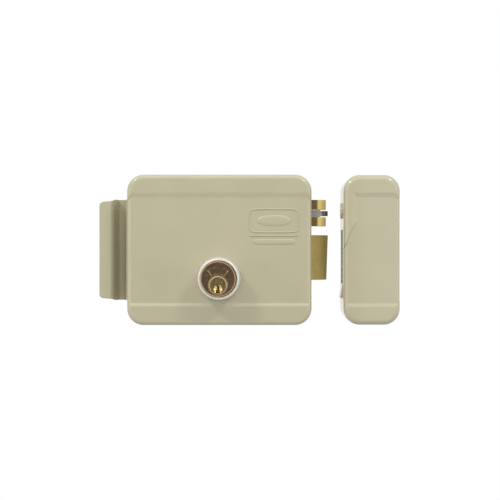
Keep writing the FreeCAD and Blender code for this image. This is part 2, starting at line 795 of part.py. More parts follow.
def latch_bolt():
    """Brass bolt with a slanted nose, a shoulder that stops it and a spring pocket."""
    low_tip = BOLT_TIP - BOLT_TIP_SLANT
    outline = [(BOLT_END, BOLT_BOTTOM), (low_tip, BOLT_BOTTOM), (BOLT_TIP, BOLT_TOP), (BOLT_END, BOLT_TOP)]
    solid = plate_in_xz(outline, [0] * 4, BOLT_BACK, BOLT_FRONT)
    shoulder = block(
        (BOLT_END, STOP_X),
        (BOLT_FRONT, BOLT_BACK),
        (BOLT_BOTTOM - SHOULDER, BOLT_TOP + SHOULDER),
    )
    solid = solid.fuse(shoulder)
    wedge = [
        (HALF_WIDTH + BOLT_BEVEL_START, BOLT_FRONT),
        (BOLT_TIP, BOLT_BACK - BOLT_TIP_FLAT),
        (BOLT_TIP + BOLT_REACH, BOLT_BACK - BOLT_TIP_FLAT),
        (BOLT_TIP + BOLT_REACH, BOLT_FRONT - BOLT_THICK),
        (HALF_WIDTH + BOLT_BEVEL_START, BOLT_FRONT - BOLT_THICK),
    ]
    radii = [0] * len(wedge)
    solid = solid.cut(bar_in_xy(wedge, radii, BOLT_BOTTOM - BOLT_THICK, BOLT_TOP + BOLT_THICK))
    pocket = rod(
        BOLT_SPRING[0] + BOLT_SPRING[1] + LOOSE,
        at(BOLT_END, SLIDE_Y, BOLT_MID_Z),
        at(BOLT_END + BOLT_SPRING_POCKET, SLIDE_Y, BOLT_MID_Z),
    )
    holes = [pocket]
    for x, z in tail_rivet_places():
        holes.append(rod_in_y(RIVET_RADIUS + RUNNING, x, z, BOLT_BACK, BOLT_BACK - RIVET_GRIP))
    return solid.cut(Part.makeCompound(holes)).removeSplitter()


def tail_rivet_places():
    """Two rivets that hold the tail to the bolt's back."""
    x = STOP_X - RIVET_HEAD - STOP_GAP
    middle = (TAIL_FOOT_TOP + TAIL_FOOT_BOTTOM) / 2
    reach = (TAIL_FOOT_TOP - TAIL_FOOT_BOTTOM) / 4
    return [(x, middle - reach), (x, middle + reach)]


def bolt_tail():
    """Flat bar on the bolt's back, its far end folded up as the key's lug."""
    half = TAIL_THICK / 2
    lug = LUG_FACE - half
    front = -CYLINDER_BACK + CAM_STANDOFF
    path = [(lug, front), (lug, BOLT_BACK + half), (STOP_X - STOP_GAP, BOLT_BACK + half)]
    sheet = bent_sheet(path, [TAIL_BEND], TAIL_THICK, BOLT_BOTTOM, BOLT_TOP)
    left = LUG_FACE - TAIL_THICK
    lug_bottom = PLUG_Z + CAM_FINGER * math.cos(math.radians(CAM_LEAN)) - LUG_OVERLAP
    neck = LUG_FACE + TAIL_THICK + TAIL_BEND
    notch = SEAT_X + TAIL_STEP
    foot = BOLT_END + STOP_GAP
    end = STOP_X - STOP_GAP
    outline = [
        (left, lug_bottom),
        (neck, lug_bottom),
        (neck, TAIL_BOTTOM),
        (foot, TAIL_BOTTOM),
        (foot, TAIL_FOOT_BOTTOM),
        (end, TAIL_FOOT_BOTTOM),
        (end, TAIL_FOOT_TOP),
        (foot, TAIL_FOOT_TOP),
        (foot, TAIL_NOTCH),
        (notch, TAIL_NOTCH),
        (notch, TAIL_TOP),
        (neck, TAIL_TOP),
        (neck, LUG_TOP),
        (left, LUG_TOP),
    ]
    solid = sheet.common(plate_in_xz(outline, [0] * len(outline), TAIL_BACK + 1, front - 1))
    holes = [rod_in_y(TAIL_PIN_RADIUS + RUNNING, TAIL_PIN_X, TAIL_PIN_Z, TAIL_BACK, BOLT_BACK)]
    for x, z in tail_rivet_places():
        holes.append(rod_in_y(RIVET_RADIUS + RUNNING, x, z, TAIL_BACK, BOLT_BACK))
    return solid.cut(Part.makeCompound(holes))


def tail_rivets():
    """Rivets between the tail and the bolt, their heads on the tail."""
    rivets = []
    for x, z in tail_rivet_places():
        head_end = at(x, TAIL_BACK + LOW_HEAD_HEIGHT, z)
        shank = rod_in_y(RIVET_RADIUS, x, z, TAIL_BACK, BOLT_BACK - RIVET_GRIP)
        head = cone(LOW_HEAD_TOP, LOW_HEAD, head_end, at(x, TAIL_BACK, z))
        rivets.append(shank.fuse(head))
    return rivets


def tail_pin():
    """Pin on the tail that the release lever pushes, with a spacer collar."""
    tip = -LEVER_BACK - LEVER_SHEET - TAIL_PIN_PROUD
    pin = rod_in_y(TAIL_PIN_RADIUS, TAIL_PIN_X, TAIL_PIN_Z, TAIL_BACK, tip)
    collar = rod_in_y(TAIL_COLLAR, TAIL_PIN_X, TAIL_PIN_Z, BOLT_BACK, LOOSE - LEVER_BACK)
    return pin.fuse(collar)


def plunger():
    """Brass cocking plunger: two round-nosed tines joined by a web on the front."""
    section = [
        (BOLT_END, PLUNGER_FRONT),
        (PLUNGER_TIP, PLUNGER_FRONT),
        (PLUNGER_TIP, PLUNGER_BACK),
        (BOLT_END, PLUNGER_BACK),
    ]
    radii = [0, PLUNGER_NOSE, PLUNGER_NOSE, 0]
    solid = bar_in_xy(section, radii, PLUNGER_BOTTOM, PLUNGER_TOP)
    shoulder = block(
        (BOLT_END, STOP_X),
        (PLUNGER_FRONT, PLUNGER_BACK),
        (PLUNGER_BOTTOM - SHOULDER, PLUNGER_TOP + SHOULDER),
    )
    solid = solid.fuse(shoulder)
    slot = (PLUNGER_SLOT_BOTTOM, PLUNGER_SLOT_TOP)
    inside = block((BOLT_END - 1, PLUNGER_TIP + 1), (PLUNGER_FRONT + PLUNGER_WEB, PLUNGER_BACK + 1), slot)
    outside = block((INNER_X, PLUNGER_TIP + 1), (PLUNGER_FRONT - 1, PLUNGER_BACK + 1), slot)
    return solid.cut(inside.fuse(outside)).removeSplitter()


def trigger_blade():
    """Steel blade in the plunger's slot: thick root, thinner nose and a leg behind."""
    section = [
        (BLADE_END, BLADE_FRONT),
        (BLADE_TIP, BLADE_FRONT),
        (BLADE_TIP, BLADE_BACK),
        (STOP_X, BLADE_BACK),
        (STOP_X, LEG_END),
        (BLADE_END, LEG_END),
    ]
    radii = [0, BLADE_NOSE, BLADE_NOSE, 0, 0, 0]
    half = BLADE_THICK / 2
    solid = bar_in_xy(section, radii, BLADE_MID_Z - half, BLADE_MID_Z + half)
    root_end = HALF_WIDTH + BLADE_ROOT_REACH
    root = block(
        (BLADE_END, root_end),
        (BLADE_FRONT, BLADE_BACK),
        (BLADE_MID_Z - BLADE_ROOT_HALF, BLADE_MID_Z + BLADE_ROOT_HALF),
    )
    root = root.makeFillet(BLADE_ROOT_ROUND, edges_at_side(root, root_end))
    solid = solid.fuse(root).removeSplitter()
    hole = rod_in_y(TRIGGER_PIN_RADIUS + RUNNING, TRIGGER_PIN_X, BLADE_MID_Z, 0, (BLADE_BACK + LEG_END) / 2)
    return solid.cut(hole)


def trigger_pin():
    """Pin in the blade's leg that swings the hold-back catch."""
    start = (BLADE_BACK + LEG_END) / 2
    return rod_in_y(TRIGGER_PIN_RADIUS, TRIGGER_PIN_X, BLADE_MID_Z, start, CATCH_BACK + LOOSE)


def coil_spring(spring, x_start, x_end, y, z):
    """Compression spring along X between two seats."""
    radius, wire, turns = spring
    height = x_end - x_start - 2 * wire
    helix = Part.makeHelix(height / turns, height, radius)
    ring = Part.Wire(Part.makeCircle(wire, at(radius, 0, 0), ALONG_Y))
    coil = Part.Wire(helix.Edges).makePipeShell([ring], True, True)
    coil.rotate(at(0, 0, 0), ALONG_Y, 90)
    coil.translate(at(x_start + wire, y, z))
    return coil


def bolt_spring():
    """Spring that throws the latch bolt."""
    return coil_spring(BOLT_SPRING, SEAT_X, BOLT_END + BOLT_SPRING_POCKET, SLIDE_Y, BOLT_MID_Z)


def plunger_springs():
    """Two springs, one behind each tine of the plunger."""
    lower = (PLUNGER_BOTTOM + PLUNGER_SLOT_BOTTOM) / 2
    upper = (PLUNGER_TOP + PLUNGER_SLOT_TOP) / 2
    return [coil_spring(PLUNGER_SPRING, SEAT_X, BOLT_END, SLIDE_Y, z) for z in (lower, upper)]


def trigger_spring():
    """Spring behind the trigger blade."""
    middle = (BLADE_FRONT + BLADE_BACK) / 2
    return coil_spring(TRIGGER_SPRING, SEAT_X, BLADE_END, middle, BLADE_MID_Z)


def clip_ring(x, z, post_radius, y_back):
    """Open retaining ring in a post's groove."""
    outer = post_radius + CLIP_RADIUS - POST_RADIUS
    ring = rod_in_y(outer, x, z, y_back, y_back - CLIP_SHEET)
    ring = ring.cut(rod_in_y(post_radius - CLIP_GROOVE, x, z, y_back, y_back - CLIP_SHEET))
    half = post_radius * CLIP_MOUTH
    return ring.cut(block((x - half, x + half), (y_back, y_back - CLIP_SHEET), (z, z - 2 * outer)))


def lever_clip_y():
    """Back face of the clip on the release lever's post."""
    return -LEVER_BACK - LEVER_SHEET - LOOSE


def catch_clip_y():
    """Back face of the clip on the catch's post."""
    return CATCH_FRONT - RUNNING


def lever_post():
    """Post on the base plate that the release lever swings on."""
    post = rod_in_y(POST_RADIUS, LEVER_X, LEVER_Z, 0, lever_clip_y() - POST_PROUD)
    post = post.fuse(rod_in_y(POST_SHOULDER, LEVER_X, LEVER_Z, PLATE_TOP, LOOSE - LEVER_BACK))
    return post.cut(clip_groove(LEVER_X, LEVER_Z, POST_RADIUS, lever_clip_y()))


def catch_post():
    """Post on the slide frame that the hold-back catch swings on."""
    post = rod_in_y(CATCH_POST, CATCH_X, CATCH_Z, PLATE_TOP, catch_clip_y() - POST_PROUD)
    post = post.fuse(rod_in_y(CATCH_EYE - RUNNING, CATCH_X, CATCH_Z, FOOT_TOP, CATCH_BACK + LOOSE))
    return post.cut(clip_groove(CATCH_X, CATCH_Z, CATCH_POST, catch_clip_y()))


def clip_groove(x, z, radius, y_back):
    """Ring of metal that a clip's groove takes out of its post."""
    groove = rod_in_y(radius + 1, x, z, y_back, y_back - CLIP_SHEET)
    return groove.cut(rod_in_y(radius - CLIP_GROOVE, x, z, y_back, y_back - CLIP_SHEET))


def retaining_clips():
    """Open rings that keep the lever and the catch on their posts."""
    return [
        clip_ring(LEVER_X, LEVER_Z, POST_RADIUS, lever_clip_y()),
        clip_ring(CATCH_X, CATCH_Z, CATCH_POST, catch_clip_y()),
    ]


def tapered_link(start, start_radius, end, end_radius, y_start, y_end):
    """Flat link with a round eye at each end and straight sides between them."""
    eyes = rod_in_y(start_radius, start[0], start[1], y_start, y_end)
    eyes = eyes.fuse(rod_in_y(end_radius, end[0], end[1], y_start, y_end))
    way = at(end[0] - start[0], 0, end[1] - start[1])
    length = way.Length
    way.normalize()
    across = at(-way.z, 0, way.x)
    tilt = math.asin((start_radius - end_radius) / length)
    corners = []
    for side in (1, -1):
        edge = across * (side * math.cos(tilt)) + way * math.sin(tilt)
        near = at(start[0], y_start, start[1]) + edge * start_radius
        far = at(end[0], y_start, end[1]) + edge * end_radius
        corners += [near, far] if side == 1 else [far, near]
    web = Part.Face(Part.makePolygon(corners + corners[:1])).extrude(at(0, y_end - y_start, 0))
    return eyes.fuse(web).removeSplitter()


def release_lever():
    """Lever that hangs from its post, pulled at its waist and slotted at its foot."""
    y_back = -LEVER_BACK
    y_front = y_back - LEVER_SHEET
    ends = ((LEVER_X, LEVER_Z), (LEVER_X, TAIL_PIN_Z))
    solid = tapered_link(ends[0], LEVER_EYE, ends[1], LEVER_FOOT, y_back, y_front)
    slot_half = TAIL_PIN_RADIUS + LOOSE
    drop = LEVER_ARM * (1 - math.cos(math.radians(LEVER_LEAN)))
    slot = block(
        (LEVER_X - slot_half, LEVER_X + slot_half),
        (y_back, y_front),
        (TAIL_PIN_Z - drop, TAIL_PIN_Z + drop),
    )
    for z in (TAIL_PIN_Z - drop, TAIL_PIN_Z + drop):
        slot = slot.fuse(rod_in_y(slot_half, LEVER_X, z, y_back, y_front))
    link = rod_in_y(LINK_PIN_RADIUS + LINK_SLACK, LEVER_X, COIL_AXIS_Z, y_back, y_front)
    pivot = rod_in_y(POST_RADIUS + RUNNING, LEVER_X, LEVER_Z, y_back, y_front)
    left = LEVER_X - LEVER_WINDOW_HALF
    right = LEVER_X + LEVER_WINDOW_HALF
    low = TAIL_PIN_Z + 3 * slot_half
    high = COIL_AXIS_Z - 3 * LINK_PIN_RADIUS
    corners = [(left, low), (right, low), (right, high), (left, high)]
    window = plate_in_xz(corners, [LEVER_WINDOW_CORNER] * 4, y_back, y_front)
    solid = solid.cut(Part.makeCompound([slot, link, pivot, window]))
    solid.rotate(at(LEVER_X, 0, LEVER_Z), ALONG_Y, -LEVER_LEAN)
    return solid


def coil_frame():
    """U bracket that holds the bobbin, with ears for its two screws."""
    half = COIL_SHEET / 2
    top = COIL_Y - COIL_HALF
    floor = PLATE_TOP - half
    left = COIL_LEFT + half
    right = COIL_RIGHT - half
    path = [(left, top), (left, floor), (right, floor), (right, top)]
    low = COIL_AXIS_Z - COIL_HALF
    high = COIL_AXIS_Z + COIL_HALF
    solid = bent_sheet(path, [COIL_SHEET / 2] * 2, COIL_SHEET, low, high)
    middle = (COIL_LEFT + COIL_RIGHT) / 2
    reach = COIL_SCREW_SPREAD + COIL_EAR
    points = [
        (middle - COIL_EAR, COIL_AXIS_Z - reach),
        (middle + COIL_EAR, COIL_AXIS_Z - reach),
        (middle + COIL_EAR, COIL_AXIS_Z + reach),
        (middle - COIL_EAR, COIL_AXIS_Z + reach),
    ]
    solid = solid.fuse(plate_in_xz(points, [COIL_EAR / 2] * 4, PLATE_TOP, PLATE_TOP - COIL_SHEET))
    holes = [
        coil_rod(CORE_STEM + RUNNING, COIL_LEFT - COIL_SHEET, COIL_LEFT + 2 * COIL_SHEET),
        coil_rod(CORE_RADIUS + 2 * CORE_GAP, COIL_RIGHT - 2 * COIL_SHEET, COIL_RIGHT + COIL_SHEET),
    ]
    for x, z in coil_screw_places():
        holes.append(pan_hole(x, z, 0, PLATE_TOP - 2 * COIL_SHEET))
    return solid.cut(Part.makeCompound(holes)).removeSplitter()


def coil_rod(radius, x_start, x_end):
    """Round bar on the coil's axis."""
    return rod(radius, at(x_start, COIL_Y, COIL_AXIS_Z), at(x_end, COIL_Y, COIL_AXIS_Z))


def coil_screws():
    """Two screws that hold the coil's bracket to the base plate."""
    return [pan_screw(x, z, PLATE_TOP - COIL_SHEET, COIL_SHEET + PLATE) for x, z in coil_screw_places()]


def bobbin_ends():
    """Left and right end of the bobbin, between the bracket's legs."""
    return COIL_LEFT + COIL_SHEET + LOOSE, COIL_RIGHT - COIL_SHEET - LOOSE


def coil_bobbin():
    """Spool that the winding is on."""
    left, right = bobbin_ends()
    spool = coil_rod(BOBBIN_TUBE, left, right)
    spool = spool.fuse(coil_rod(COIL_HALF, left, left + BOBBIN_FLANGE))
    spool = spool.fuse(coil_rod(COIL_HALF, right - BOBBIN_FLANGE, right))
    return spool.cut(coil_rod(CORE_RADIUS + CORE_GAP, left, right)).removeSplitter()


def coil_winding():
    """Copper winding between the bobbin's flanges."""
    left, right = bobbin_ends()
    start = left + BOBBIN_FLANGE
    end = right - BOBBIN_FLANGE
    return coil_rod(WINDING_RADIUS, start, end).cut(coil_rod(BOBBIN_TUBE, start, end))


def coil_core():
    """Fixed core, riveted into the bracket's left leg."""
    seat = COIL_LEFT + COIL_SHEET
    solid = coil_rod(CORE_RADIUS, seat, seat + CORE_LENGTH)
    return solid.fuse(coil_rod(CORE_STEM, COIL_LEFT - CORE_RIVET, seat))


def armature():
    """Sliding core with a forked end around the release lever."""
    left = COIL_LEFT + COIL_SHEET + CORE_LENGTH + ARMATURE_AIR
    fork_left = LINK_X - FORK_LENGTH
    core = coil_rod(CORE_RADIUS, left, fork_left + CORE_RADIUS)
    low = COIL_AXIS_Z - FORK_HALF
    high = COIL_AXIS_Z + FORK_HALF
    half = LEVER_SHEET / 2 + FORK_EAR + LOOSE
    fork = block((fork_left, LINK_X), (COIL_Y - half, COIL_Y + half), (low, high))
    fork = fork.fuse(rod_in_y(FORK_HALF, LINK_X, COIL_AXIS_Z, COIL_Y - half, COIL_Y + half))
    gap = LEVER_SHEET / 2 + LOOSE
    mouth = block(
        (LINK_X - FORK_MOUTH, LINK_X + FORK_MOUTH),
        (COIL_Y - gap, COIL_Y + gap),
        (low - FORK_HALF, high + FORK_HALF),
    )
    hole = rod_in_y(LINK_PIN_RADIUS + RUNNING, LINK_X, COIL_AXIS_Z, COIL_Y - 2 * half, COIL_Y + 2 * half)
    return core.fuse(fork).cut(mouth).cut(hole).removeSplitter()


def armature_pin():
    """Pin that links the armature's fork to the lever."""
    half = LEVER_SHEET / 2 + FORK_EAR + LOOSE
    return rod_in_y(LINK_PIN_RADIUS, LINK_X, COIL_AXIS_Z, COIL_Y - half, COIL_Y + half)


def hold_catch():
    """Two-armed catch: a slotted arm up to the blade's pin and a tooth at the tail."""
    pin_reach = BLADE_MID_Z - CATCH_Z
    pivot = (CATCH_X, CATCH_Z)
    top = (CATCH_X, CATCH_Z + pin_reach / math.cos(math.radians(CATCH_LEAN)))
    arm = tapered_link(pivot, CATCH_EYE, top, CATCH_ARM, CATCH_BACK, CATCH_FRONT)
    slot_half = TRIGGER_PIN_RADIUS + CATCH_SLOT_SLACK
    low = CATCH_Z + pin_reach
    slot = block((CATCH_X - slot_half, CATCH_X + slot_half), (CATCH_BACK, CATCH_FRONT), (low, top[1]))
    slot = slot.fuse(rod_in_y(slot_half, CATCH_X, low, CATCH_BACK, CATCH_FRONT))
    slot = slot.fuse(rod_in_y(slot_half, CATCH_X, top[1], CATCH_BACK, CATCH_FRONT))
    arm = arm.cut(slot)
    arm.rotate(at(CATCH_X, 0, CATCH_Z), ALONG_Y, CATCH_LEAN)
    tooth_place = (CATCH_TOOTH_X, CATCH_TOOTH_Z)
    low_arm = tapered_link(pivot, CATCH_EYE, tooth_place, CATCH_TOOTH, CATCH_BACK, CATCH_FRONT)
    tooth = rod_in_y(CATCH_TOOTH, CATCH_TOOTH_X, CATCH_TOOTH_Z, CATCH_BACK, BOLT_BACK + LOOSE)
    low_arm = low_arm.fuse(tooth)
    low_arm.rotate(at(CATCH_X, 0, CATCH_Z), ALONG_Y, 2 * CATCH_LEAN)
    hole = rod_in_y(CATCH_POST + RUNNING, CATCH_X, CATCH_Z, CATCH_BACK, CATCH_FRONT)
    return arm.fuse(low_arm).cut(hole).removeSplitter()


def cylinder_collar():
    """Tapered ring around the key cylinder, standing on the cover."""
    top = PANEL - COLLAR_HEIGHT
    bore = CYLINDER_RADIUS + COLLAR_GAP
    profile = [
        at(bore, PANEL, 0),
        at(COLLAR_BASE, PANEL, 0),
        at(COLLAR_TOP, top, 0),
        at(bore, top, 0),
    ]
    face = rounded_face(profile, [0, COLLAR_FOOT_ROUND, COLLAR_ROUND, COLLAR_FOOT_ROUND])
    ring = face.revolve(at(0, 0, 0), ALONG_Y, 360)
    ring.translate(at(CYLINDER_X + COLLAR_SHIFT, 0, CYLINDER_Z))
    return ring


def face_recess():
    """Shallow curved recess above the plug, its floor's edge bevelled."""
    deep = CYLINDER_FACE + RECESS_DEPTH
    wide = RECESS_OUTER * math.tan(math.radians(RECESS_HALF_ANGLE))
    wedge = [
        (CYLINDER_X, PLUG_Z),
        (CYLINDER_X + wide, PLUG_Z + RECESS_OUTER),
        (CYLINDER_X - wide, PLUG_Z + RECESS_OUTER),
    ]
    sector = plate_in_xz(wedge, [0, 0, 0], CYLINDER_FACE, deep)
    sector = sector.common(rod_in_y(RECESS_OUTER, CYLINDER_X, PLUG_Z, CYLINDER_FACE, deep))
    sector = sector.cut(rod_in_y(RECESS_INNER, CYLINDER_X, PLUG_Z, CYLINDER_FACE, deep))
    return sector.makeChamfer(RECESS_BEVEL, edges_at_depth(sector, deep))


def cylinder_body():
    """Brass key cylinder with a bore for its plug and a groove for its clip."""
    solid = rod_in_y(CYLINDER_RADIUS, CYLINDER_X, CYLINDER_Z, -CYLINDER_BACK, CYLINDER_FACE)
    solid = solid.makeChamfer(CYLINDER_CHAMFER, edges_at_depth(solid, CYLINDER_FACE))
    bore = rod_in_y(PLUG_RADIUS + RUNNING, CYLINDER_X, PLUG_Z, -CYLINDER_BACK, CYLINDER_FACE)
    mouth = cone(
        PLUG_RADIUS + RUNNING,
        PLUG_RADIUS + RUNNING + PLUG_CHAMFER,
        at(CYLINDER_X, CYLINDER_FACE + PLUG_CHAMFER, PLUG_Z),
        at(CYLINDER_X, CYLINDER_FACE, PLUG_Z),
    )
    near = PANEL + COVER_WALL
    far = near + CLIP_PLATE + RUNNING
    groove = rod_in_y(CYLINDER_RADIUS + CYLINDER_GROOVE, CYLINDER_X, CYLINDER_Z, near, far)
    root = rod_in_y(CYLINDER_RADIUS - CYLINDER_GROOVE, CYLINDER_X, CYLINDER_Z, near, far)
    return solid.cut(bore).cut(mouth).cut(groove.cut(root)).cut(face_recess())


def cylinder_clip():
    """Horseshoe clip in the cylinder's groove, against the cover's inside."""
    near = PANEL + COVER_WALL
    far = near + CLIP_PLATE
    outer = CYLINDER_RADIUS + CLIP_PLATE_RIM
    root = CYLINDER_RADIUS - CYLINDER_GROOVE + RUNNING
    ring = rod_in_y(outer, CYLINDER_X, CYLINDER_Z, near, far)
    mouth = block(
        (CYLINDER_X - root, CYLINDER_X + root),
        (near, far),
        (CYLINDER_Z - outer, CYLINDER_Z),
    )
    return ring.cut(rod_in_y(root, CYLINDER_X, CYLINDER_Z, near, far)).cut(mouth)


def keyway():
    """Room for the key: a kinked slot with a wide foot."""
    width = KEYWAY_WIDTH
    foot = KEYWAY_FOOT_HALF
    outline = [
        (-width, KEYWAY_TOP),
        (-width, -KEYWAY_KNEE),
        (0, -KEYWAY_KNEE - width),
        (0, -KEYWAY_FOOT_TOP),
        (-foot, -KEYWAY_FOOT_TOP),
        (-foot, -KEYWAY_BOTTOM),
        (foot, -KEYWAY_BOTTOM),
        (foot, -KEYWAY_FOOT_TOP),
        (width, -KEYWAY_FOOT_TOP),
        (width, -KEYWAY_KNEE),
        (0, width - KEYWAY_KNEE),
        (0, KEYWAY_TOP),
    ]
    points = [(CYLINDER_X + x, PLUG_Z + z) for x, z in outline]
    return plate_in_xz(points, [0] * len(points), CYLINDER_FACE, CYLINDER_FACE + KEYWAY_DEPTH)


def cylinder_plug():
    """Turning plug with its keyway, the dish for the key's tip and the cam's seat."""
    end = -CYLINDER_BACK + CAM_STANDOFF
    solid = rod_in_y(PLUG_RADIUS, CYLINDER_X, PLUG_Z, -CYLINDER_BACK, CYLINDER_FACE)
    solid = solid.makeChamfer(PLUG_CHAMFER, edges_at_depth(solid, CYLINDER_FACE))
    solid = solid.fuse(rod_in_y(CAM_HUB, CYLINDER_X, PLUG_Z, -CYLINDER_BACK, end))
    dish = cone(
        DISH_RADIUS,
        DISH_FLOOR,
        at(CYLINDER_X, CYLINDER_FACE, PLUG_Z - DISH_DROP),
        at(CYLINDER_X, CYLINDER_FACE + DISH_DEPTH, PLUG_Z - DISH_DROP),
    )
    screw = rod_in_y(M3_RADIUS + RUNNING, CYLINDER_X, PLUG_Z, end, end - CAM_STANDOFF)
    return solid.cut(keyway()).cut(dish).cut(screw)


def key_cam():
    """Cam on the plug's tail, its finger ready behind the bolt's lug."""
    front = -CYLINDER_BACK + CAM_STANDOFF
    hub = rod_in_y(CAM_HUB, CYLINDER_X, PLUG_Z, front, CAM_BACK)
    tip_z = PLUG_Z + CAM_FINGER
    finger = block((CYLINDER_X - CAM_NECK, CYLINDER_X + CAM_NECK), (front, CAM_BACK), (PLUG_Z, tip_z))
    finger = finger.fuse(rod_in_y(CAM_TIP, CYLINDER_X, tip_z, front, CAM_BACK))
    solid = hub.fuse(finger).cut(rod_in_y(M3_RADIUS + RUNNING, CYLINDER_X, PLUG_Z, front, CAM_BACK))
    solid.rotate(at(CYLINDER_X, 0, PLUG_Z), ALONG_Y, CAM_LEAN)
    return solid


def cam_screw():
    """Screw that holds the cam on the plug."""
    shank_end = -CYLINDER_BACK
    shank = rod_in_y(M3_RADIUS, CYLINDER_X, PLUG_Z, CAM_BACK, shank_end)
    head_end = CAM_BACK + CAM_SCREW_HEAD
    head = rod_in_y(M3_HEAD, CYLINDER_X, PLUG_Z, CAM_BACK, head_end)
    socket = rod_in_y(DRIVE_RADIUS, CYLINDER_X, PLUG_Z, head_end, head_end - DRIVE_DEPTH)
    return shank.fuse(head).cut(socket)


def terminal_places():
    """Middle of each of the terminal block's two poles."""
    return [TERMINAL_X - TERMINAL_PITCH / 2, TERMINAL_X + TERMINAL_PITCH / 2]


def terminal_block():
    """Two-pole terminal block with screw wells in front and wire holes above and below."""
    bottom = TERMINAL_TOP - TERMINAL_HEIGHT
    middle = (TERMINAL_TOP + bottom) / 2
    left = TERMINAL_X - TERMINAL_WIDTH / 2
    right = TERMINAL_X + TERMINAL_WIDTH / 2
    front = PLATE_TOP - TERMINAL_DEPTH
    solid = block((left, right), (PLATE_TOP, front), (bottom, TERMINAL_TOP))
    solid = solid.makeFillet(TERMINAL_ROUND, edges_at_depth(solid, front))
    seat = front + M4_HEAD_HEIGHT + HEAD_RECESS
    cuts = [rod_in_y(M4_RADIUS + RUNNING, TERMINAL_X, middle, 0, front)]
    cuts.append(rod_in_y(M4_HEAD + LOOSE, TERMINAL_X, middle, seat, front))
    for x in terminal_places():
        cuts.append(rod_in_y(WELL_RADIUS, x, middle, front, front + WELL_DEPTH))
        for z in (TERMINAL_TOP, bottom):
            cuts.append(rod(WIRE_HOLE, at(x, lead_depth(), z), at(x, lead_depth(), middle)))
    return solid.cut(Part.makeCompound(cuts))


def lead_depth():
    """Depth at which the leads enter the terminal block."""
    return PLATE_TOP - TERMINAL_DEPTH / 3


def terminal_screws():
    """Two clamping screws and the screw that holds the block."""
    middle = TERMINAL_TOP - TERMINAL_HEIGHT / 2
    front = PLATE_TOP - TERMINAL_DEPTH
    seat = front + M4_HEAD_HEIGHT + HEAD_RECESS
    screws = [pan_screw(TERMINAL_X, middle, seat, -seat)]
    well = front + WELL_DEPTH
    top = well - CLAMP_LENGTH
    for x in terminal_places():
        screw = rod_in_y(CLAMP_RADIUS, x, middle, well, top)
        slot = block(
            (x - WELL_RADIUS, x + WELL_RADIUS),
            (top, top + CLAMP_SLOT),
            (middle - CLAMP_SLOT / 2, middle + CLAMP_SLOT / 2),
        )
        screws.append(screw.cut(slot))
    return screws


def coil_leads():
    """Two insulated wires from the bobbin down to the terminal block."""
    leads = []
    first = bobbin_ends()[0] + BOBBIN_FLANGE / 2
    exits = (first, first + LEAD_SPREAD)
    bobbin_foot = COIL_AXIS_Z - COIL_HALF
    for start_x, end_x in zip(exits, terminal_places()):
        y = lead_depth()
        points = [
            at(start_x, COIL_Y, bobbin_foot),
            at(start_x, COIL_Y, bobbin_foot * LEAD_HIGH_BEND),
            at(end_x, y, bobbin_foot * LEAD_LOW_BEND),
            at(end_x, y, TERMINAL_TOP - LEAD_ENTRY),
        ]
        leads.append(round_wire(points, LEAD_RADIUS))
    return leads


def round_wire(points, radius):
    """Round wire along straight runs joined by tangent arcs."""
    edges = []
    reached = points[0]
    for index in range(1, len(points) - 1):
        corner = points[index]
        before = corner.sub(points[index - 1])
        after = points[index + 1].sub(corner)
        shorter = min(before.Length, after.Length)
        before.normalize()
        after.normalize()
        turn = before.getAngle(after)
        reach = BEND_SHARE * shorter
        bend = reach / math.tan(turn / 2)
        start = corner.sub(before * reach)
        end = corner.add(after * reach)
        inward = after.sub(before)
        inward.normalize()
        middle = corner.add(inward * (bend / math.cos(turn / 2) - bend))
        edges.append(Part.LineSegment(reached, start).toShape())
        edges.append(Part.Arc(start, middle, end).toShape())
        reached = end
    edges.append(Part.LineSegment(reached, points[-1]).toShape())
    first = points[1].sub(points[0])
    ring = Part.Wire(Part.makeCircle(radius, points[0], first))
    return Part.Wire(edges).makePipeShell([ring], True, False)


def wire_grommet():
    """Rubber grommet in the base plate, flush with the gate's face."""
    flange = rod_in_y(INLET_FLANGE, INLET_X, INLET_Z, PLATE_TOP, 2 * PLATE_TOP)
    neck = rod_in_y(INLET_NECK - RUNNING, INLET_X, INLET_Z, 0, PLATE_TOP)
    bore = rod_in_y(INLET_BORE, INLET_X, INLET_Z, 0, 2 * PLATE_TOP)
    return flange.fuse(neck).cut(bore)


def strike_base():
    """Back plate of the strike box, with a tab at its top and bottom."""
    x_low = STRIKE_INNER_X + PLATE_GAP
    x_high = STRIKE_LEFT + STRIKE_WIDTH - STRIKE_WALL - PLATE_GAP
    z_edge = STRIKE_HALF - STRIKE_WALL - PLATE_GAP
    points = [(x_low, -z_edge), (x_high, -z_edge), (x_high, z_edge), (x_low, z_edge)]
    solid = plate_in_xz(points, [STRIKE_CORNER - STRIKE_WALL] * 4, 0, PLATE_TOP)
    holes = []
    for side in (-1, 1):
        tab, hole = tapped_tab(STRIKE_X, side, STRIKE_HALF - STRIKE_WALL)
        solid = solid.fuse(tab)
        holes.append(hole)
    for x, z in rectangle_of(STRIKE_SPACING_X, STRIKE_SPACING_Z, STRIKE_X):
        holes.append(rod_in_y(GATE_HOLE, x, z, PLATE, -2 * PLATE))
    for x, z in keeper_screw_places():
        holes.append(pan_hole(x, z, PLATE, -2 * PLATE))
    return solid.cut(Part.makeCompound(holes)).removeSplitter()


def strike_window():
    """Depth range of the strike's bolt window."""
    return SLIDE_Y - WINDOW_HALF_DEPTH, SLIDE_Y + WINDOW_HALF_DEPTH


def strike_buffer():
    """Low round boss on the strike's wall that the trigger blade meets."""
    face = STRIKE_LEFT - BUFFER_HEIGHT
    ends = [at(x, SLIDE_Y, BUFFER_Z) for x in (face, STRIKE_LEFT + STRIKE_WALL / 2)]
    boss = rod(BUFFER_RADIUS, ends[0], ends[1])
    return boss.makeFillet(BUFFER_ROUND, edges_at_side(boss, face))


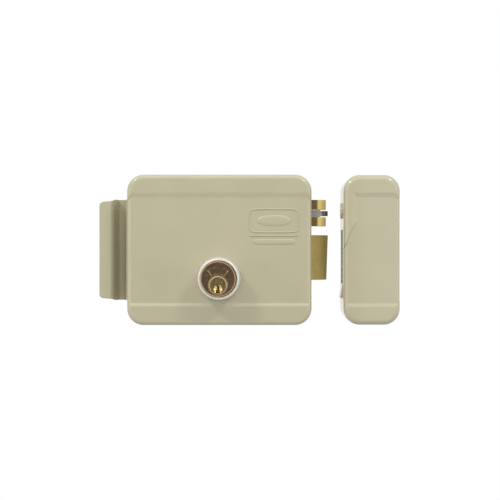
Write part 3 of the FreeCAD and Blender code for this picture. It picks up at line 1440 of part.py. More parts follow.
def strike_pad():
    """Wedge below the strike's window that guides the bolt in."""
    inside = STRIKE_LEFT + STRIKE_WALL / 2
    section = [
        (inside, PAD_TOP),
        (STRIKE_LEFT - PAD_PROUD_TOP, PAD_TOP),
        (STRIKE_LEFT - PAD_PROUD, PAD_TOP - PAD_HEIGHT),
        (inside, PAD_TOP - PAD_HEIGHT),
    ]
    y_range = (SLIDE_Y - PAD_HALF_DEPTH, SLIDE_Y + PAD_HALF_DEPTH)
    return plate_in_xz(section, [0, 0, PAD_ROUND, 0], y_range[0], y_range[1])


def strike_cover():
    """Strike's cover: bolt window, boss and wedge on its lock side."""
    x_range = (STRIKE_LEFT, STRIKE_LEFT + STRIKE_WIDTH)
    shell = banded_shell(x_range, STRIKE_HALF, STRIKE_CORNER, STRIKE_EDGE, STRIKE_WALL, strike_bands)
    window = block(
        (STRIKE_LEFT - STRIKE_WALL, STRIKE_INNER_X + STRIKE_WALL),
        strike_window(),
        (WINDOW_BOTTOM, WINDOW_TOP),
    )
    shell = shell.cut(window).fuse(strike_buffer()).fuse(strike_pad())
    for side in (-1, 1):
        shell = shell.cut(countersink(STRIKE_X, side, STRIKE_HALF, STRIKE_WALL))
    return shell


def strike_cover_screws():
    """Two flush screws that hold the strike's cover."""
    return [countersunk_screw(STRIKE_X, side, STRIKE_HALF, STRIKE_WALL) for side in (-1, 1)]


def keeper_screw_places():
    """Two screws through the keeper's foot."""
    x = STRIKE_INNER_X + KEEPER_FOOT - KEEPER_SCREW_EDGE
    return [(x, KEEPER_TOP - KEEPER_SCREW_INSET), (x, KEEPER_BOTTOM + KEEPER_SCREW_INSET)]


def strike_keeper():
    """Folded steel plate behind the window, which the bolt locks against."""
    half = KEEPER_SHEET / 2
    wall = STRIKE_INNER_X + PLATE_GAP + half
    floor = PLATE_TOP - half
    path = [(wall, PLATE_TOP - KEEPER_RISE), (wall, floor), (STRIKE_INNER_X + KEEPER_FOOT, floor)]
    solid = bent_sheet(path, [KEEPER_SHEET / 2], KEEPER_SHEET, KEEPER_BOTTOM, KEEPER_TOP)
    near, far = strike_window()
    window = block(
        (STRIKE_LEFT, STRIKE_INNER_X + 2 * KEEPER_SHEET),
        (near + KEEPER_MARGIN, far - KEEPER_MARGIN),
        (WINDOW_BOTTOM, WINDOW_TOP),
    )
    solid = solid.cut(window)
    for x, z in keeper_screw_places():
        solid = solid.cut(pan_hole(x, z, 0, PLATE_TOP - 2 * KEEPER_SHEET))
    return solid


def keeper_screws():
    """Two screws that hold the keeper to the strike's plate."""
    seat = PLATE_TOP - KEEPER_SHEET
    return [pan_screw(x, z, seat, KEEPER_SHEET + PLATE) for x, z in keeper_screw_places()]


PARTS = {
    "base_plate": base_plate,
    "cover": cover,
    "cover_screws": cover_screws,
    "pull_handle": pull_handle,
    "handle_rivets": handle_rivets,
    "slide_frame": slide_frame,
    "frame_screws": frame_screws,
    "latch_bolt": latch_bolt,
    "bolt_tail": bolt_tail,
    "tail_rivets": tail_rivets,
    "tail_pin": tail_pin,
    "bolt_spring": bolt_spring,
    "cocking_plunger": plunger,
    "plunger_springs": plunger_springs,
    "trigger_blade": trigger_blade,
    "trigger_pin": trigger_pin,
    "trigger_spring": trigger_spring,
    "lever_post": lever_post,
    "catch_post": catch_post,
    "retaining_clips": retaining_clips,
    "release_lever": release_lever,
    "coil_frame": coil_frame,
    "coil_screws": coil_screws,
    "coil_bobbin": coil_bobbin,
    "coil_winding": coil_winding,
    "coil_core": coil_core,
    "armature": armature,
    "armature_pin": armature_pin,
    "hold_catch": hold_catch,
    "cylinder_collar": cylinder_collar,
    "cylinder_body": cylinder_body,
    "cylinder_clip": cylinder_clip,
    "cylinder_plug": cylinder_plug,
    "key_cam": key_cam,
    "cam_screw": cam_screw,
    "terminal_block": terminal_block,
    "terminal_screws": terminal_screws,
    "coil_leads": coil_leads,
    "wire_grommet": wire_grommet,
    "strike_base": strike_base,
    "strike_cover": strike_cover,
    "strike_cover_screws": strike_cover_screws,
    "strike_keeper": strike_keeper,
    "keeper_screws": keeper_screws,
}


def write_parts():
    """Build each part and write it to its own file."""
    os.makedirs("parts", exist_ok=True)
    for name, build in PARTS.items():
        shape = build()
        if isinstance(shape, list):
            shape = Part.makeCompound(shape)
        shape.exportStep("parts/" + name + ".step")
        print(name, shape.isValid(), len(shape.Solids), round(shape.Volume, 1))


write_parts()
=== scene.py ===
import math

import bmesh
import bpy
import numpy as np
from bpy.props import FloatProperty, FloatVectorProperty, IntProperty, PointerProperty
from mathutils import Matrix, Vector


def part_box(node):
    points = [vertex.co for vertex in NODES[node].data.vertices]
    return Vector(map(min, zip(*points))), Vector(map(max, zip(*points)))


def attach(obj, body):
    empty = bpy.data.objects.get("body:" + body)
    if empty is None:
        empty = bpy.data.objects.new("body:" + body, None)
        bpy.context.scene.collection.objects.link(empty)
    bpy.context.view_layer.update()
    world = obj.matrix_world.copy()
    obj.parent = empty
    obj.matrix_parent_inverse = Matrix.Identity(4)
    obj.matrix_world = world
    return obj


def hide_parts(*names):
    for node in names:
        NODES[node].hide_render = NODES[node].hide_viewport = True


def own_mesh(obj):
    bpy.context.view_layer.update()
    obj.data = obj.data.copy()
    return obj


bl_info = {
    "name": "Gate Lock Finishes",
    "version": (1, 0, 0),
    "blender": (4, 5, 0),
    "location": "3D View > Sidebar > Gate Lock",
    "description": "Dresses an electric gate lock with enamel, brass, steel and a white studio",
    "category": "Object",
}

MM = 0.001
SENSOR = 36.0

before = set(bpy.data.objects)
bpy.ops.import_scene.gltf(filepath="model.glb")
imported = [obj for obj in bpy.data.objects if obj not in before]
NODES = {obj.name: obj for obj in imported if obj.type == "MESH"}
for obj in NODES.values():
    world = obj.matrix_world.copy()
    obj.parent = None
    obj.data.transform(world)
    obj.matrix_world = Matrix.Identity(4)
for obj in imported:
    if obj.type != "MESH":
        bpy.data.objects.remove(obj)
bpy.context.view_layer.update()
COVER_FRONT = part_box("cover")[0][1]
WINDING_LOW, WINDING_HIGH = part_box("coil_winding")
CYLINDER_LOW, CYLINDER_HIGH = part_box("cylinder_body")
PLUG_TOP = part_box("cylinder_plug")[1][2]
PLUNGER_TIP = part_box("cocking_plunger")[1][0]
BLADE_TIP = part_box("trigger_blade")[1][0]

# Sizes on CAD nodes that the finishes and the embossing follow
CYLINDER_CHAMFER = 0.9 * MM
PLUG_CHAMFER = 0.6 * MM
PLUG_RADIUS = 6.5 * MM
PLUNGER_NOSE = 6.6 * MM
BLADE_NOSE = 4.6 * MM
PANEL_DEPTH = 1.0 * MM

# Width over which a finish changes at an edge, the pale painted highlight on the plug's edge, and the
# painted shade on the cylinder's front chamfer
EDGE_BLUR = 0.1 * MM
PLUG_EDGE_HIGHLIGHT = (0.93, 0.87, 0.72)
CHAMFER_SHADE = (0.30, 0.27, 0.25)

# How finely the pieces are drawn
RING_POINTS = 240
RIDGE_POINTS = 16
PAD_POINTS = 160
PAD_STEPS = 25
COIL_STEPS = 6
SPRING_POINTS = 32
SPRING_WIRE_POINTS = 10

# Deepest dip between two turns of the coil, as a share of their pitch
DIP_SHARE = 0.35

# Places that agree to so many digits of a metre are one place
PLACE_DIGITS = 6

# Angle from which an edge is shaded sharp
SHARP_ANGLE = math.radians(50)

# Shares and places of the embossed marks
FRAME_SQUARENESS = 7
OVAL_SQUARENESS = 2.4
BAR_SQUARENESS = 6
OVAL_WIDTH_SHARE = 0.34
OVAL_HEIGHT_SHARE = 0.24
BAR_WIDTH_SHARE = 0.42
BAR_HALF_HEIGHT = 2.0 * MM
LINE_GAP = 2.6 * MM
BAR_GAP = 4.4 * MM
PAD_ROUNDING = 0.6

# Place and size of each lamp in metres, and the setting that holds its power
LAMPS = {
    "level_lamp": ((-0.10, -1.40, 0.15), (0.60, 0.40), "level_strength"),
    "left_lamp": ((-0.95, -1.00, 1.27), (0.34, 0.28), "left_strength"),
    "right_lamp": ((0.95, -1.00, 1.27), (0.34, 0.28), "right_strength"),
    "far_left_lamp": ((-1.30, -0.50, 0.10), (0.40, 0.60), "side_strength"),
    "far_right_lamp": ((1.30, -0.50, 0.10), (0.40, 0.60), "side_strength"),
    "top_lamp": ((0.0, -0.40, 0.95), (1.20, 0.50), "top_strength"),
}

# Floor, screen and camera, with lengths in metres
FLOOR_RADIUS = 0.65
FADE_START = 0.32
FADE_END = 0.62
SHOWN_FLOOR = 0.86
SHOWN_GLOW = 0.16
SCREEN_SIDES = (-0.40, 0.24)
SCREEN_HEIGHTS = (-0.7, 0.6)
SCREEN_Y = -1.6
SCREEN_COLOUR = (0.17, 0.165, 0.24, 1)
MATT_ROUGHNESS = 0.9
NEAR_CLIP = 0.05
FAR_CLIP = 20.0
WHITE = (1, 1, 1, 1)


def srgb(red, green, blue):
    """Linear colour of three screen values from 0 to 255."""
    values = np.array([red, green, blue]) / 255
    linear = np.where(values <= 0.04045, values / 12.92, ((values + 0.055) / 1.055) ** 2.4)
    return tuple(float(v) for v in linear)


class EnamelSettings(bpy.types.PropertyGroup):
    """Baked enamel of the case, the pull and the strike box."""

    colour: FloatVectorProperty(
        name="Enamel",
        description="Colour of the baked enamel",
        subtype="COLOR",
        size=3,
        min=0.0,
        max=1.0,
        default=srgb(190, 183, 153),
    )
    roughness: FloatProperty(
        name="Roughness",
        description="How dull the enamel is under its gloss",
        subtype="FACTOR",
        min=0.0,
        max=1.0,
        default=0.42,
    )
    gloss: FloatProperty(
        name="Gloss",
        description="Weight of the clear gloss over the pigment",
        subtype="FACTOR",
        min=0.0,
        max=1.0,
        default=0.9,
    )
    peel_width: FloatProperty(
        name="Peel width",
        description="Distance from one ripple of the enamel to the next",
        unit="LENGTH",
        min=0.2 * MM,
        default=1.6 * MM,
    )


class MetalSettings(bpy.types.PropertyGroup):
    """Colours of the lock's metals."""

    brass: FloatVectorProperty(
        name="Brass",
        description="Colour of the latch bolt and the plunger",
        subtype="COLOR",
        size=3,
        min=0.0,
        max=1.0,
        default=srgb(212, 188, 116),
    )
    cylinder_brass: FloatVectorProperty(
        name="Cylinder brass",
        description="Colour of the key cylinder",
        subtype="COLOR",
        size=3,
        min=0.0,
        max=1.0,
        default=srgb(226, 194, 138),
    )
    plug_brass: FloatVectorProperty(
        name="Plug brass",
        description="Colour of the cylinder's turning plug",
        subtype="COLOR",
        size=3,
        min=0.0,
        max=1.0,
        default=srgb(222, 192, 124),
    )
    nickel: FloatVectorProperty(
        name="Nickel",
        description="Colour of the collar round the key cylinder",
        subtype="COLOR",
        size=3,
        min=0.0,
        max=1.0,
        default=srgb(228, 227, 223),
    )
    zinc: FloatVectorProperty(
        name="Zinc",
        description="Colour of the plated sheets and screws",
        subtype="COLOR",
        size=3,
        min=0.0,
        max=1.0,
        default=srgb(196, 197, 192),
    )
    steel: FloatVectorProperty(
        name="Steel",
        description="Colour of the trigger blade and the pins",
        subtype="COLOR",
        size=3,
        min=0.0,
        max=1.0,
        default=srgb(190, 188, 180),
    )
    copper: FloatVectorProperty(
        name="Copper",
        description="Colour of the lacquered coil wire",
        subtype="COLOR",
        size=3,
        min=0.0,
        max=1.0,
        default=srgb(176, 92, 48),
    )


class EmblemSettings(bpy.types.PropertyGroup):
    """Sizes of the plain embossed plate on the case."""

    centre_x: FloatProperty(
        name="Centre",
        description="Place of the embossing along the case",
        unit="LENGTH",
        default=40.2 * MM,
    )
    top: FloatProperty(
        name="Top",
        description="Height of the embossing's upper edge",
        unit="LENGTH",
        default=30.0 * MM,
    )
    width: FloatProperty(
        name="Width",
        description="Width of the embossing",
        unit="LENGTH",
        min=5 * MM,
        default=36.0 * MM,
    )
    height: FloatProperty(
        name="Height",
        description="Height of the embossed frame",
        unit="LENGTH",
        min=5 * MM,
        default=17.0 * MM,
    )
    ridge: FloatProperty(
        name="Ridge",
        description="Width of an embossed line",
        unit="LENGTH",
        min=0.2 * MM,
        default=1.0 * MM,
    )
    lift: FloatProperty(
        name="Lift",
        description="How far the embossing stands off the case",
        unit="LENGTH",
        min=0.05 * MM,
        default=0.6 * MM,
    )


class CoilSettings(bpy.types.PropertyGroup):
    """The wound coil."""

    wire_pitch: FloatProperty(
        name="Wire pitch",
        description="Distance from one turn of the coil to the next",
        unit="LENGTH",
        min=0.2 * MM,
        default=0.62 * MM,
    )
    turn_points: IntProperty(
        name="Points round",
        description="Points round one turn of the coil",
        min=16,
        default=64,
    )


class SpringSettings(bpy.types.PropertyGroup):
    """Wire and turns of the lock's springs."""

    bolt_wire: FloatProperty(
        name="Bolt wire",
        description="Radius of the wire of the latch bolt's spring",
        unit="LENGTH",
        min=0.1 * MM,
        default=0.6 * MM,
    )
    plunger_wire: FloatProperty(
        name="Plunger wire",
        description="Radius of the wire of the plunger's springs",
        unit="LENGTH",
        min=0.1 * MM,
        default=0.45 * MM,
    )
    trigger_wire: FloatProperty(
        name="Trigger wire",
        description="Radius of the wire of the trigger blade's spring",
        unit="LENGTH",
        min=0.1 * MM,
        default=0.4 * MM,
    )
    turns: IntProperty(
        name="Turns",
        description="Turns of each spring, the two flat ones at its ends counted",
        min=4,
        default=8,
    )


class StudioSettings(bpy.types.PropertyGroup):
    """Camera and lamps."""

    camera_place: FloatVectorProperty(
        name="Camera",
        description="Place of the camera",
        subtype="TRANSLATION",
        unit="LENGTH",
        size=3,
        default=(22.6 * MM, -988.0 * MM, -0.1 * MM),
    )
    view_width: FloatProperty(
        name="View width",
        description="Width of the picture at the front of the case",
        unit="LENGTH",
        default=367.35 * MM,
    )
    level_strength: FloatProperty(
        name="Level lamp",
        description="Power of the soft lamp beside the camera, in watts",
        min=0.0,
        default=3.9,
    )
    left_strength: FloatProperty(
        name="Left lamp",
        description="Power of the lamp at the upper left, in watts",
        min=0.0,
        default=8.6,
    )
    right_strength: FloatProperty(
        name="Right lamp",
        description="Power of the lamp at the upper right, in watts",
        min=0.0,
        default=7.2,
    )
    side_strength: FloatProperty(
        name="Side lamps",
        description="Power of each of the two lamps level with the lock's sides, in watts",
        min=0.0,
        default=1.3,
    )
    top_strength: FloatProperty(
        name="Top lamp",
        description="Power of the lamp overhead, in watts",
        min=0.0,
        default=1.5,
    )
    room_light: FloatProperty(
        name="Room light",
        description="Strength of the light that comes from all round",
        min=0.0,
        default=0.45,
    )
    floor_return: FloatProperty(
        name="Floor return",
        description="Share of its light that the floor gives back to the lock",
        subtype="FACTOR",
        min=0.0,
        max=1.0,
        default=0.45,
    )
    floor_drop: FloatProperty(
        name="Floor",
        description="How far the floor lies below the middle of the lock",
        unit="LENGTH",
        default=0.30,
    )


# Surfaces


def mesh_from_grid(name, points, close_rows=False, close_columns=False):
    """Mesh of a grid of points, one quad between each four neighbours; a closed
    direction joins its last line of points to its first."""
    rows, columns = points.shape[:2]
    index = np.arange(rows * columns).reshape(rows, columns)
    if close_rows:
        index = np.vstack([index, index[:1]])
    if close_columns:
        index = np.hstack([index, index[:, :1]])
    corners = [index[:-1, :-1], index[1:, :-1], index[1:, 1:], index[:-1, 1:]]
    quads = np.stack(corners, axis=-1).reshape(-1, 4)
    mesh = bpy.data.meshes.new(name)
    mesh.from_pydata(points.reshape(-1, 3).tolist(), [], quads.tolist())
    return mesh


def close_mesh(mesh, weld=1e-7):
    """Welds the poles of a grid into single points, fills its open ends and turns all
    faces outwards."""
    work = bmesh.new()
    work.from_mesh(mesh)
    bmesh.ops.remove_doubles(work, verts=work.verts, dist=weld)
    open_edges = [edge for edge in work.edges if edge.is_boundary]
    if open_edges:
        bmesh.ops.holes_fill(work, edges=open_edges)
    bmesh.ops.recalc_face_normals(work, faces=work.faces)
    work.to_mesh(mesh)
    work.free()
    return mesh


def ridge_ring(name, centre, half_x, half_z, squareness, half_width, lift):
    """A low ridge along a superellipse: the path is |x/a|^n + |z/b|^n = 1, and
    round each of its points runs an ellipse across the path's outward direction."""
    turn = np.linspace(0, 2 * np.pi, RING_POINTS, endpoint=False)[:, None]
    section = np.linspace(0, 2 * np.pi, RIDGE_POINTS, endpoint=False)[None, :]
    power = 2 / squareness
    unit_x = np.sign(np.cos(turn)) * np.abs(np.cos(turn)) ** power
    unit_z = np.sign(np.sin(turn)) * np.abs(np.sin(turn)) ** power
    out_x = np.sign(unit_x) * np.abs(unit_x) ** (squareness - 1) / half_x
    out_z = np.sign(unit_z) * np.abs(unit_z) ** (squareness - 1) / half_z
    length = np.hypot(out_x, out_z)
    reach = half_width * np.cos(section)
    x = centre[0] + half_x * unit_x + reach * out_x / length
    z = centre[2] + half_z * unit_z + reach * out_z / length
    y = centre[1] - lift * np.sin(section) + 0 * x
    return close_mesh(mesh_from_grid(name, np.stack([x, y, z], -1), True, True))


def low_pad(name, centre, half_x, half_z, squareness, lift):
    """A low pad: a superellipse in the plane of the sheet. As an angle runs from -90 to
    90 degrees, its height is lift times the sine, and its reach is less than the whole
    by the lesser half size times one minus a small power of the cosine."""
    turn = np.linspace(0, 2 * np.pi, PAD_POINTS, endpoint=False)[:, None]
    rise = np.linspace(-np.pi / 2, np.pi / 2, PAD_STEPS)[None, :]
    power = 2 / squareness
    unit_x = np.sign(np.cos(turn)) * np.abs(np.cos(turn)) ** power
    unit_z = np.sign(np.sin(turn)) * np.abs(np.sin(turn)) ** power
    shrink = (1 - np.cos(rise) ** PAD_ROUNDING) * min(half_x, half_z)
    x = centre[0] + unit_x * (half_x - shrink)
    z = centre[2] + unit_z * (half_z - shrink)
    y = centre[1] - lift * np.sin(rise) + 0 * x
    return close_mesh(mesh_from_grid(name, np.stack([x, y, z], -1), True, False))


def wound_coil(name, low, high, pitch, around):
    """Turns of wire side by side: the radius about the coil's axis is the outer radius
    less the dip beside a half round, at most a share of the pitch, which repeats at the
    pitch along the axis."""
    length = high[0] - low[0]
    turns = int(length / pitch)
    along = np.linspace(0, turns, turns * COIL_STEPS + 1)[:, None]
    angle = np.linspace(0, 2 * np.pi, around, endpoint=False)[None, :]
    outer = (high[2] - low[2]) / 2
    dip = pitch / 2 * (1 - np.sqrt(np.clip(1 - (2 * (along % 1) - 1) ** 2, 0, 1)))
    radius = outer - np.minimum(dip, pitch * DIP_SHARE)
    middle_y = (low[1] + high[1]) / 2
    middle_z = (low[2] + high[2]) / 2
    x = low[0] + length * along / turns + 0 * angle
    y = middle_y + radius * np.cos(angle)
    z = middle_z + radius * np.sin(angle)
    return close_mesh(mesh_from_grid(name, np.stack([x, y, z], -1), False, True))


def coil_spring(name, low, high, middle_z, wire, turns):
    """Compression spring along X: the wire's middle runs round a circle while it goes
    along by one wire a turn at both ends and evenly between them; round each of its
    points runs a circle across the path, spanned by the radial direction and the
    direction at right angles to it and to the path."""
    radius = (high[1] - low[1]) / 2 - wire
    middle_y = (low[1] + high[1]) / 2
    turn = np.linspace(0, turns, turns * SPRING_POINTS + 1)[:, None]
    start = low[0] + wire
    end = high[0] - wire
    stops = [start, start + 2 * wire, end - 2 * wire, end]
    along = np.interp(turn, [0, 1, turns - 1, turns], stops)
    slope = np.gradient(along[:, 0], turn[:, 0])[:, None] / (2 * np.pi * radius)
    angle = 2 * np.pi * turn
    round_wire = np.linspace(0, 2 * np.pi, SPRING_WIRE_POINTS, endpoint=False)[None, :]
    outward = radius + wire * np.cos(round_wire)
    across = wire * np.sin(round_wire) / np.hypot(1, slope)
    x = along + across
    y = middle_y + outward * np.cos(angle) + across * slope * np.sin(angle)
    z = middle_z + outward * np.sin(angle) - across * slope * np.cos(angle)
    return close_mesh(mesh_from_grid(name, np.stack([x, y, z], -1), False, True))


def joined(name, meshes):
    """One mesh of several that don't touch."""
    work = bmesh.new()
    for part in meshes:
        work.from_mesh(part)
        bpy.data.meshes.remove(part)
    mesh = bpy.data.meshes.new(name)
    work.to_mesh(mesh)
    work.free()
    return mesh


def add_piece(name, mesh, body, material):
    """Puts a finished mesh into the scene, on its body, with its finish."""
    for polygon in mesh.polygons:
        polygon.use_smooth = True
    mesh.set_sharp_from_angle(angle=SHARP_ANGLE)
    piece = bpy.data.objects.new(name, mesh)
    bpy.context.scene.collection.objects.link(piece)
    mesh.materials.append(material)
    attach(piece, body)
    return piece


# Finishes


class Finish:
    """A material under construction: its node tree and its shader."""

    def __init__(self, name, colour, metallic, roughness):
        self.material = bpy.data.materials.new(name)
        self.material.use_nodes = True
        self.tree = self.material.node_tree
        self.shader = self.tree.nodes["Principled BSDF"]
        self.shader.inputs["Base Color"].default_value = (*colour, 1.0)
        self.shader.inputs["Metallic"].default_value = metallic
        self.shader.inputs["Roughness"].default_value = roughness
        self.shader.inputs["Specular IOR Level"].default_value = 0.5
        self.place = self.tree.nodes.new("ShaderNodeTexCoord")
        self.height = None

    def link(self, start, end):
        """Joins an output to an input."""
        self.tree.links.new(start, end)

    def stretched(self, scale):
        """Place on the piece, stretched by a factor along each axis."""
        mapping = self.tree.nodes.new("ShaderNodeMapping")
        mapping.inputs["Scale"].default_value = scale
        self.link(self.place.outputs["Object"], mapping.inputs["Vector"])
        return mapping.outputs["Vector"]

    def noise(self, width, detail=3.0, stretch=(1, 1, 1), distortion=0.0):
        """Noise whose patches are about so wide, in metres."""
        node = self.tree.nodes.new("ShaderNodeTexNoise")
        node.inputs["Scale"].default_value = 1 / width
        node.inputs["Detail"].default_value = detail
        node.inputs["Distortion"].default_value = distortion
        self.link(self.stretched(stretch), node.inputs["Vector"])
        return node.outputs["Fac"]

    def between(self, value, low, high, start=0.3, end=0.7):
        """A number that goes from low to high as value goes from start to end."""
        node = self.tree.nodes.new("ShaderNodeMapRange")
        node.inputs["From Min"].default_value = start
        node.inputs["From Max"].default_value = end
        node.inputs["To Min"].default_value = low
        node.inputs["To Max"].default_value = high
        self.link(value, node.inputs["Value"])
        return node.outputs["Result"]

    def along_x(self, start, end):
        """Zero up to one place along the lock's length, one from the other place on."""
        split = self.tree.nodes.new("ShaderNodeSeparateXYZ")
        self.link(self.place.outputs["Object"], split.inputs["Vector"])
        return self.between(split.outputs["X"], 0.0, 1.0, start, end)

    def from_axis(self, x, z, start, end):
        """Zero up to one distance from an axis along Y, one from the other distance on."""
        split = self.tree.nodes.new("ShaderNodeSeparateXYZ")
        flat = self.tree.nodes.new("ShaderNodeCombineXYZ")
        length = self.tree.nodes.new("ShaderNodeVectorMath")
        length.operation = "DISTANCE"
        length.inputs[1].default_value = (x, z, 0)
        self.link(self.place.outputs["Object"], split.inputs["Vector"])
        self.link(split.outputs["X"], flat.inputs["X"])
        self.link(split.outputs["Z"], flat.inputs["Y"])
        self.link(flat.outputs["Vector"], length.inputs[0])
        return self.between(length.outputs["Value"], 0.0, 1.0, start, end)

    def colours(self, value, first, second, start=0.3, end=0.7):
        """A colour that goes from first to second as value goes from start to end."""
        ramp = self.tree.nodes.new("ShaderNodeValToRGB")
        ramp.color_ramp.elements[0].position = start
        ramp.color_ramp.elements[0].color = (*first, 1.0)
        ramp.color_ramp.elements[1].position = end
        ramp.color_ramp.elements[1].color = (*second, 1.0)
        self.link(value, ramp.inputs["Fac"])
        return ramp.outputs["Color"]

    def difference(self, first, second):
        """The first number less the second."""
        node = self.tree.nodes.new("ShaderNodeMath")
        node.operation = "SUBTRACT"
        self.link(first, node.inputs[0])
        self.link(second, node.inputs[1])
        return node.outputs["Value"]

    def mixed(self, first, second, blend="MIX", factor=None):
        """Two colours mixed or multiplied by a factor, and in full where none is given."""
        node = self.tree.nodes.new("ShaderNodeMix")
        node.data_type = "RGBA"
        node.blend_type = blend
        node.inputs["Factor"].default_value = 1.0
        if factor is not None:
            self.link(factor, node.inputs["Factor"])
        self.link(first, node.inputs["A"])
        self.link(second, node.inputs["B"])
        return node.outputs["Result"]

    def paint(self, colour):
        """Gives the shader its colour."""
        self.link(colour, self.shader.inputs["Base Color"])

    def roughen(self, value):
        """Gives the shader its roughness."""
        self.link(value, self.shader.inputs["Roughness"])

    def bump(self, value, depth, strength=1.0):
        """Adds relief of so many metres on top of the relief that is there."""
        node = self.tree.nodes.new("ShaderNodeBump")
        node.inputs["Distance"].default_value = depth
        node.inputs["Strength"].default_value = strength
        self.link(value, node.inputs["Height"])
        if self.height is not None:
            self.link(self.height, node.inputs["Normal"])
        self.height = node.outputs["Normal"]
        self.link(self.height, self.shader.inputs["Normal"])


def scaled(colour, factor):
    """The same colour with all its channels times a factor."""
    return tuple(channel * factor for channel in colour)


def enamel(settings):
    """Baked enamel: pigment with a faint cloudiness, a clear gloss and orange peel."""
    colour = tuple(settings.colour)
    finish = Finish("enamel", colour, 0.0, settings.roughness)
    cloud = finish.noise(28 * MM, 2.0)
    finish.paint(finish.colours(cloud, scaled(colour, 0.975), scaled(colour, 1.025)))
    dullness = settings.roughness
    finish.roughen(finish.between(finish.noise(9 * MM), dullness - 0.04, dullness + 0.05))
    finish.shader.inputs["Coat Weight"].default_value = settings.gloss
    finish.shader.inputs["Coat Roughness"].default_value = 0.07
    finish.shader.inputs["Coat IOR"].default_value = 1.5
    finish.bump(finish.noise(settings.peel_width, 1.0), 0.008 * MM, 0.5)
    return finish.material


def satin_brass(name, colour, metallic, roughness, grain):
    """Milled brass: fine lines of the cutter along one direction, and faint tarnish."""
    finish = Finish(name, colour, metallic, roughness)
    tarnish = finish.noise(6 * MM, 4.0)
    finish.paint(finish.colours(tarnish, scaled(colour, 0.86), colour))
    lines = finish.noise(0.22 * MM, 2.0, grain)
    finish.roughen(finish.between(lines, roughness - 0.05, roughness + 0.09))
    finish.bump(lines, 0.004 * MM, 0.6)
    return finish.material


def plunger_brass(colour, nose):
    """Turned brass, polished on its sides and worn duller on the nose by the strike; its sides are
    painted darker as painted shade and its nose paler as a painted highlight.
    """
    finish = Finish("plunger_brass", colour, 1.0, 0.2)
    lit_and_worn_nose = finish.along_x(nose - 0.6 * MM, nose + 0.9 * MM)
    lines = finish.noise(0.22 * MM, 2.0, (1, 12, 12))
    # Painted shade on the polished sides, painted highlight on the nose
    finish.paint(finish.colours(lit_and_worn_nose, scaled(colour, 0.72), scaled(colour, 1.2), 0.0, 1.0))
    finish.link(finish.between(lit_and_worn_nose, 1.0, 0.35, 0.0, 1.0), finish.shader.inputs["Metallic"])
    finish.roughen(finish.between(lit_and_worn_nose, 0.18, 0.42, 0.0, 1.0))
    finish.bump(lines, 0.004 * MM, 0.6)
    return finish.material


def plug_brass(colour, middle, radius):
    """Turned and polished brass with handling marks, scuffed duller on its edge, where a pale painted
    highlight lies.
    """
    finish = Finish("plug_brass", colour, 1.0, 0.2)
    face = radius - PLUG_CHAMFER
    edge = finish.from_axis(middle[0], middle[2], face - EDGE_BLUR, face)
    # The edge is painted pale as a painted highlight
    finish.paint(finish.colours(edge, scaled(colour, 0.9), PLUG_EDGE_HIGHLIGHT, 0.0, 1.0))
    marks = finish.between(finish.noise(1.1 * MM, 3.0), 0.16, 0.30)
    scuffed = finish.tree.nodes.new("ShaderNodeMix")
    finish.link(edge, scuffed.inputs["Factor"])
    finish.link(marks, scuffed.inputs["A"])
    scuffed.inputs["B"].default_value = 0.36
    finish.roughen(scuffed.outputs["Result"])
    finish.bump(finish.noise(0.5 * MM, 2.0), 0.0015 * MM, 0.5)
    return finish.material


def cylinder_brass(colour, middle, radius):
    """Polished brass whose front chamfer is painted dark as painted shade, which narrows its
    reflection to a bright outer line.
    """
    finish = Finish("cylinder_brass", colour, 1.0, 0.12)
    tarnish = finish.noise(3.2 * MM, 4.0)
    clean = finish.colours(tarnish, scaled(colour, 0.8), colour)
    bright = finish.from_axis(middle[0], middle[2], radius - 0.5 * MM, radius - 0.3 * MM)
    face = radius - CYLINDER_CHAMFER
    inner = finish.from_axis(middle[0], middle[2], face - EDGE_BLUR, face)
    # Painted shade on the chamfer, left off its bright outer line
    dull = finish.colours(finish.difference(inner, bright), WHITE[:3], CHAMFER_SHADE, 0.0, 1.0)
    finish.paint(finish.mixed(clean, dull, "MULTIPLY"))
    finish.roughen(finish.between(finish.noise(1.1 * MM, 3.0), 0.08, 0.22))
    finish.bump(finish.noise(0.5 * MM, 2.0), 0.0015 * MM, 0.5)
    return finish.material


def plated_steel(name, colour, roughness):
    """Zinc plating: soft grey with a slow cloud of lighter and darker metal."""
    finish = Finish(name, colour, 0.9, roughness)
    cloud = finish.noise(7 * MM, 5.0, distortion=0.6)
    finish.paint(finish.colours(cloud, scaled(colour, 0.78), colour))
    finish.roughen(finish.between(finish.noise(2.4 * MM, 3.0), roughness - 0.06, roughness + 0.12))
    finish.bump(finish.noise(0.7 * MM, 2.0), 0.004 * MM, 0.6)
    return finish.material


def satin_nickel(colour, roughness):
    """Blasted nickel: pale and even, half matt, with a very fine grain."""
    finish = Finish("satin_nickel", colour, 0.6, roughness)
    cloud = finish.noise(9 * MM, 2.0)
    finish.paint(finish.colours(cloud, scaled(colour, 0.95), colour))
    finish.roughen(finish.between(finish.noise(1.8 * MM), roughness - 0.04, roughness + 0.06))
    finish.bump(finish.noise(0.3 * MM, 2.0), 0.003 * MM, 0.5)
    return finish.material


def rolled_steel(name, colour, roughness, grain):
    """Bare steel with the lines of rolling or grinding along one direction."""
    finish = Finish(name, colour, 1.0, roughness)
    lines = finish.noise(0.25 * MM, 3.0, grain)
    finish.paint(finish.colours(lines, scaled(colour, 0.72), colour))
    finish.roughen(finish.between(lines, roughness - 0.05, roughness + 0.12))
    finish.bump(lines, 0.004 * MM, 0.6)
    return finish.material


